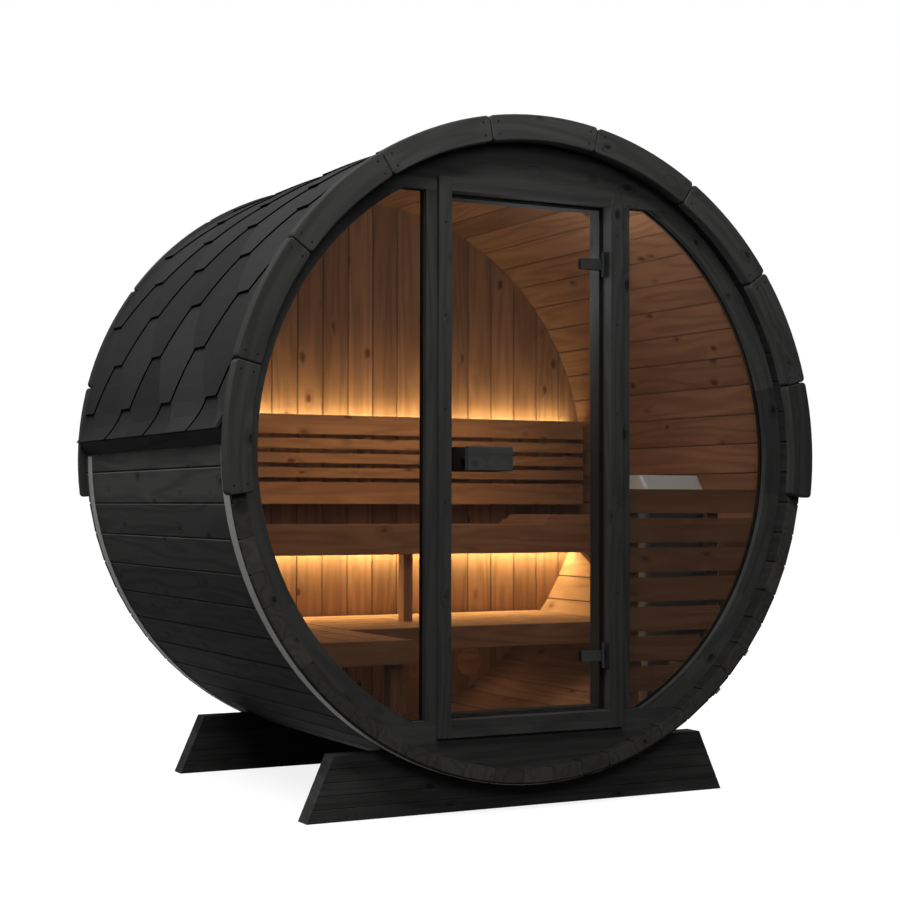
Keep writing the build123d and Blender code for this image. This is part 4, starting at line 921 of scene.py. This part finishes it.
FELT_STEPS = 24
FELT_HALF_ANGLE = math.radians(23)
FELT_INSET = 2 * MM
FELT_DEPTH = 3.4 * MM


class SAUNA_OT_felts(bpy.types.Operator):
    """Lay a strip of bitumen felt in each cradle, so that no light shows under the flat staves"""
    bl_idname = "sauna.felts"
    bl_label = "Lay the cradle felts"

    def execute(self, context):
        verts = []
        faces = []
        for node in ("cradle_front", "cradle_rear"):
            low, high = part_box(node)
            first = len(verts)
            for step in range(FELT_STEPS + 1):
                angle = FELT_HALF_ANGLE * (2 * step / FELT_STEPS - 1)
                for reach in (BARREL_RADIUS, BARREL_RADIUS - FELT_DEPTH):
                    for y in (low.y + FELT_INSET, high.y - FELT_INSET):
                        verts.append((reach * math.sin(angle), y, AXIS_HEIGHT - reach * math.cos(angle)))
            for step in range(FELT_STEPS):
                here = first + 4 * step
                for one, other in ((0, 1), (1, 3), (3, 2), (2, 0)):
                    faces.append((here + one, here + 4 + one, here + 4 + other, here + other))
            last = first + 4 * FELT_STEPS
            faces.append((first, first + 1, first + 3, first + 2))
            faces.append((last, last + 2, last + 3, last + 1))
        mesh = bpy.data.meshes.new("cradle_felts")
        mesh.from_pydata(verts, [], faces)
        # Black, so that the slits under the staves stay dark
        mesh.materials.append(grit("Bitumen felt", linear("#0a0a0a"), linear("#050505")))
        piece = bpy.data.objects.new("cradle_felts", mesh)
        context.scene.collection.objects.link(piece)
        seat_piece(piece, "cabin", "bitumen_shingle")
        return {"FINISHED"}


TRIM_BOARDS = 9
TRIM_COVER = 60 * MM
JAMB_REBATE = 12 * MM
TRIM_END_ANGLE = math.radians(1.5)
TRIM_SCREW_SHARES = (0.25, 0.75)
JAMB_SCREWS = 6


def screw_points():
    """Places of the screws and the way each one faces."""
    points = []
    ways = []
    width = TRIM_HIGH.z - AXIS_HEIGHT - (BARREL_RADIUS - TRIM_COVER)
    for board in range(TRIM_BOARDS):
        middle = (board - (TRIM_BOARDS - 1) / 2) * TRIM_STEP
        for end in (-1, 1):
            angle = middle + end * (TRIM_STEP / 2 - TRIM_END_ANGLE)
            for share in TRIM_SCREW_SHARES:
                radius = TRIM_RADIUS - width * share
                x, z = radius * math.sin(angle), AXIS_HEIGHT + radius * math.cos(angle)
                points += [(x, TRIM_LOW.y, z), (x, -TRIM_LOW.y, z)]
                ways += [-REARWARD, REARWARD]
    middle = (JAMB_LOW.x + JAMB_REBATE + JAMB_HIGH.x) / 2
    for step in range(JAMB_SCREWS):
        z = JAMB_LOW.z + (JAMB_HIGH.z - JAMB_LOW.z) * (step + 0.5) / JAMB_SCREWS
        points += [(-middle, JAMB_LOW.y, z), (middle, JAMB_LOW.y, z)]
        ways += [-REARWARD, -REARWARD]
    mesh = bpy.data.meshes.new("screw_points")
    mesh.from_pydata(points, [], [])
    facing = mesh.attributes.new("facing", "FLOAT_VECTOR", "POINT")
    facing.data.foreach_set("vector", [value for way in ways for value in way])
    return mesh


class SAUNA_OT_screws(bpy.types.Operator):
    """Drive the screws of the trim boards and the door frame"""
    bl_idname = "sauna.screws"
    bl_label = "Drive the screws"

    def execute(self, context):
        # Small black dots that give the boards their scale
        steel = metal("Blackened screw steel", linear("#0e0e0e"), 0.45, 1 * MM, 0.1, 0.4)
        piece = grown("screws", screw_tree(), {
            "Head Radius": SCREW_RADIUS, "Head Height": SCREW_HEIGHT, "Steel": steel}, screw_points())
        seat_piece(piece, "cabin", "black_steel")
        return {"FINISHED"}


STONE_ROWS = (5, 6, 2)
STONE_SIZE = 27 * MM
STONE_RELIEF = 9 * MM
STONE_SEED = 3
STONE_SHIFT = 0.18
STONE_SHIFT_TURN = 7.3


def stone_points():
    """A loose grid of places for the stones in the heater's hopper."""
    low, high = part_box("heater_stones")
    points = []
    for column in range(STONE_ROWS[0]):
        for row in range(STONE_ROWS[1]):
            for layer in range(STONE_ROWS[2]):
                turn = column + 2 * row + 3 * layer
                shares = [(place + 0.5 + STONE_SHIFT * math.sin(STONE_SHIFT_TURN * (turn + place))) / count
                          for place, count in zip((column, row, layer), STONE_ROWS)]
                points.append([low[i] + STONE_SIZE + (high[i] - low[i] - 2 * STONE_SIZE) * shares[i]
                               for i in range(3)])
    mesh = bpy.data.meshes.new("stone_points")
    mesh.from_pydata(points, [], [])
    return mesh


SCREEN_STEPS = 48
SCREEN_INSET = 8 * MM
SCREEN_THICKNESS = 1 * MM
SCREEN_INSIDE = 3 * MM
SCREEN_OUTSIDE = 2 * MM


class SAUNA_OT_vent_screens(bpy.types.Operator):
    """Close the vent on both faces of the rear wall with a thin slide plate behind the louvres"""
    bl_idname = "sauna.vent_screens"
    bl_label = "Close the vent"

    def execute(self, context):
        low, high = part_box("wall_vent")
        centre = (low + high) / 2
        radius = (high.x - low.x) / 2 - SCREEN_INSET
        verts = []
        faces = []
        for y in (REAR_WALL[0].y - SCREEN_INSIDE, REAR_WALL[1].y + SCREEN_OUTSIDE):
            first = len(verts)
            for depth in (y, y + SCREEN_THICKNESS):
                for step in range(SCREEN_STEPS):
                    turn = math.tau * step / SCREEN_STEPS
                    x = centre.x + radius * math.cos(turn)
                    verts.append((x, depth, centre.z + radius * math.sin(turn)))
            faces.append([first + step for step in range(SCREEN_STEPS)])
            faces.append([first + SCREEN_STEPS + step for step in reversed(range(SCREEN_STEPS))])
            for step in range(SCREEN_STEPS):
                following = (step + 1) % SCREEN_STEPS
                faces.append((first + following, first + step, first + SCREEN_STEPS + step,
                              first + SCREEN_STEPS + following))
        mesh = bpy.data.meshes.new("vent_screens")
        mesh.from_pydata(verts, [], faces)
        mesh.materials.append(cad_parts["wall_vent"].material_slots[0].material)
        piece = bpy.data.objects.new("vent_screens", mesh)
        context.scene.collection.objects.link(piece)
        seat_piece(piece, "cabin", "vent_plastic")
        return {"FINISHED"}


class SAUNA_OT_stones(bpy.types.Operator):
    """Fill the heater's hopper with stones"""
    bl_idname = "sauna.stones"
    bl_label = "Fill in the stones"

    def execute(self, context):
        # Grey broken faces that fill the hopper's mouth
        stone = grit("Split olivine stone", linear("#6f706d"), linear("#33342f"))
        piece = grown("hopper_stones", stone_tree(), {
            "Stone Size": STONE_SIZE, "Roughness": STONE_RELIEF, "Seed": STONE_SEED, "Stone": stone},
            stone_points())
        seat_piece(piece, "cabin", "heater_stone", "heater_stones")
        return {"FINISHED"}


# Camera as fitted to the photo
CAMERA_PLACE = Vector((-2.7470, -5.3451, 0.9178))
CAMERA_YAW = math.radians(27.688)
CAMERA_PITCH = math.radians(1.75)
CAMERA_ROLL = math.radians(0.11)
CAMERA_LENS = 71.22
CAMERA_SENSOR = 36.0

# Studio lamps: name, level, place, how far up the roof it looks, size
STUDIO_LAMPS = (
    ("key", "key", Vector((-0.9, -2.2, 3.5)), 0.8, (1.6, 0.9)),
    ("front", "front", Vector((-1.5, -4.5, 2.6)), 0.4, (2.0, 1.4)),
    ("side", "side", Vector((-3.2, -0.8, 4.8)), 0.0, (2.0, 2.0)),
    ("fill_right", "fill", Vector((4.4, 0.0, 4.4)), 0.4, (2.4, 2.4)),
    ("fill_behind", "fill", Vector((0.6, 4.4, 4.4)), 0.4, (2.4, 2.4)),
)
WHITE = (1.0, 1.0, 1.0)
FLOOR_REACH = 40.0
FLOOR_SHADE = (1.4, 3.2)
FLOOR_LEVELS = (0.86, 1.0)


def add_lamp(name, place, target, size, power, colour=WHITE):
    """A rectangular soft lamp that looks at a point."""
    data = bpy.data.lights.new(name, "AREA")
    data.shape = "RECTANGLE"
    data.size, data.size_y = size
    data.energy = power
    data.color = colour
    lamp = bpy.data.objects.new(name, data)
    lamp.location = place
    lamp.rotation_mode = "QUATERNION"
    lamp.rotation_quaternion = (Vector(target) - Vector(place)).to_track_quat("-Z", "Y")
    lamp.visible_camera = lamp.visible_glossy = False
    bpy.context.scene.collection.objects.link(lamp)
    return lamp


def add_bulb(name, place, radius, power, colour):
    """A soft round lamp."""
    data = bpy.data.lights.new(name, "POINT")
    data.energy = power
    data.color = colour
    data.shadow_soft_size = radius
    lamp = bpy.data.objects.new(name, data)
    lamp.location = place
    lamp.visible_camera = lamp.visible_glossy = False
    bpy.context.scene.collection.objects.link(lamp)
    return lamp


def seen_directly(tree):
    """1 for rays from the camera, a mirror or glass, and 0 for rays that carry light to the object."""
    path = add(tree, "ShaderNodeLightPath").outputs
    seen = add(tree, "ShaderNodeMath", [path["Is Camera Ray"], path["Is Glossy Ray"]], operation="MAXIMUM")
    return add(tree, "ShaderNodeMath", [seen, path["Is Transmission Ray"]], operation="MAXIMUM")


def pale_floor():
    """Matt white floor: it shows white and keeps a light shadow."""
    material, output = new_material("Matt white floor")
    tree = material.node_tree
    # Dark to the rays that carry light, so that little bounces up under the barrel
    plain = add(tree, "ShaderNodeBsdfDiffuse", {"Color": linear("#262626")})
    shade = add(tree, "ShaderNodeBsdfDiffuse", {"Color": linear("#808080")})
    place = add(tree, "ShaderNodeTexCoord").outputs["Object"]
    away = add(tree, "ShaderNodeVectorMath", [place], operation="LENGTH").outputs["Value"]
    level = add(tree, "ShaderNodeMapRange", [away, *FLOOR_SHADE, *FLOOR_LEVELS],
                interpolation_type="SMOOTHSTEP")
    white = add(tree, "ShaderNodeEmission", {"Color": linear("#ffffff"), "Strength": level})
    lit = add(tree, "ShaderNodeAddShader", [shade, white])
    mixed = add(tree, "ShaderNodeMixShader", [seen_directly(tree), plain, lit])
    add_link(tree, mixed, output)
    return material


class SAUNA_OT_stage(bpy.types.Operator):
    """Set the floor, the sky, the studio lamps and the camera"""
    bl_idname = "sauna.stage"
    bl_label = "Set the stage"

    def execute(self, context):
        scene = context.scene
        levels = scene.sauna_light
        scene.view_settings.view_transform = "Standard"
        world = bpy.data.worlds.new("Studio sky")
        world.use_nodes = True
        tree = world.node_tree
        tree.nodes.clear()
        strength = add(tree, "ShaderNodeMapRange", [seen_directly(tree), 0.0, 1.0, levels.sky, 1.0])
        sky = add(tree, "ShaderNodeBackground", {"Color": linear("#ffffff"), "Strength": strength})
        add_link(tree, sky, add(tree, "ShaderNodeOutputWorld"))
        scene.world = world
        mesh = bpy.data.meshes.new("floor")
        signs = ((-1, -1), (1, -1), (1, 1), (-1, 1))
        corners = [(x * FLOOR_REACH, y * FLOOR_REACH, -SLIGHT) for x, y in signs]
        mesh.from_pydata(corners, [], [(0, 1, 2, 3)])
        mesh.materials.append(pale_floor())
        floor = bpy.data.objects.new("floor", mesh)
        scene.collection.objects.link(floor)
        centre = Vector((0, 0, AXIS_HEIGHT))
        top = Vector((0, 0, ROOF_RADIUS))
        for name, level, place, share, size in STUDIO_LAMPS:
            add_lamp(name, place, centre + top * share, size, getattr(levels, level))
        data = bpy.data.cameras.new("camera")
        data.lens = CAMERA_LENS
        data.sensor_width = CAMERA_SENSOR
        data.dof.use_dof = False
        camera = bpy.data.objects.new("camera", data)
        look = Vector((math.sin(CAMERA_YAW) * math.cos(CAMERA_PITCH),
                       math.cos(CAMERA_YAW) * math.cos(CAMERA_PITCH), math.sin(CAMERA_PITCH)))
        turn = look.to_track_quat("-Z", "Y").to_matrix().to_4x4() @ Matrix.Rotation(CAMERA_ROLL, 4, "Z")
        camera.matrix_world = Matrix.Translation(CAMERA_PLACE) @ turn
        scene.collection.objects.link(camera)
        scene.camera = camera
        return {"FINISHED"}


class SAUNA_PT_panel(bpy.types.Panel):
    """Lists the dressing steps and their settings"""
    bl_idname = "SAUNA_PT_panel"
    bl_label = "Barrel sauna"
    bl_space_type = "VIEW_3D"
    bl_region_type = "UI"
    bl_category = "Sauna"

    def draw(self, context):
        for group in (context.scene.sauna_timber, context.scene.sauna_shingles, context.scene.sauna_light):
            for name in group.bl_rna.properties.keys():
                if name not in ("rna_type", "name"):
                    self.layout.prop(group, name)
        for operator in OPERATORS:
            self.layout.operator(operator.bl_idname)


GROUPS = {"sauna_timber": TimberLook, "sauna_shingles": ShingleSizes, "sauna_light": LightLevels}
OPERATORS = (SAUNA_OT_stage, SAUNA_OT_timber, SAUNA_OT_metalwork, SAUNA_OT_glazing, SAUNA_OT_strips,
             SAUNA_OT_shingles, SAUNA_OT_felts, SAUNA_OT_screws, SAUNA_OT_vent_screens, SAUNA_OT_stones)


def register():
    for kind in (*GROUPS.values(), *OPERATORS, SAUNA_PT_panel):
        bpy.utils.register_class(kind)
    for name, kind in GROUPS.items():
        setattr(bpy.types.Scene, name, PointerProperty(type=kind))


def unregister():
    for name in GROUPS:
        delattr(bpy.types.Scene, name)
    for kind in reversed((*GROUPS.values(), *OPERATORS, SAUNA_PT_panel)):
        bpy.utils.unregister_class(kind)


def main():
    """Dresses the frame."""
    register()
    for operator in OPERATORS:
        group, name = operator.bl_idname.split(".")
        getattr(getattr(bpy.ops, group), name)()


if __name__ == "__main__":
    main()
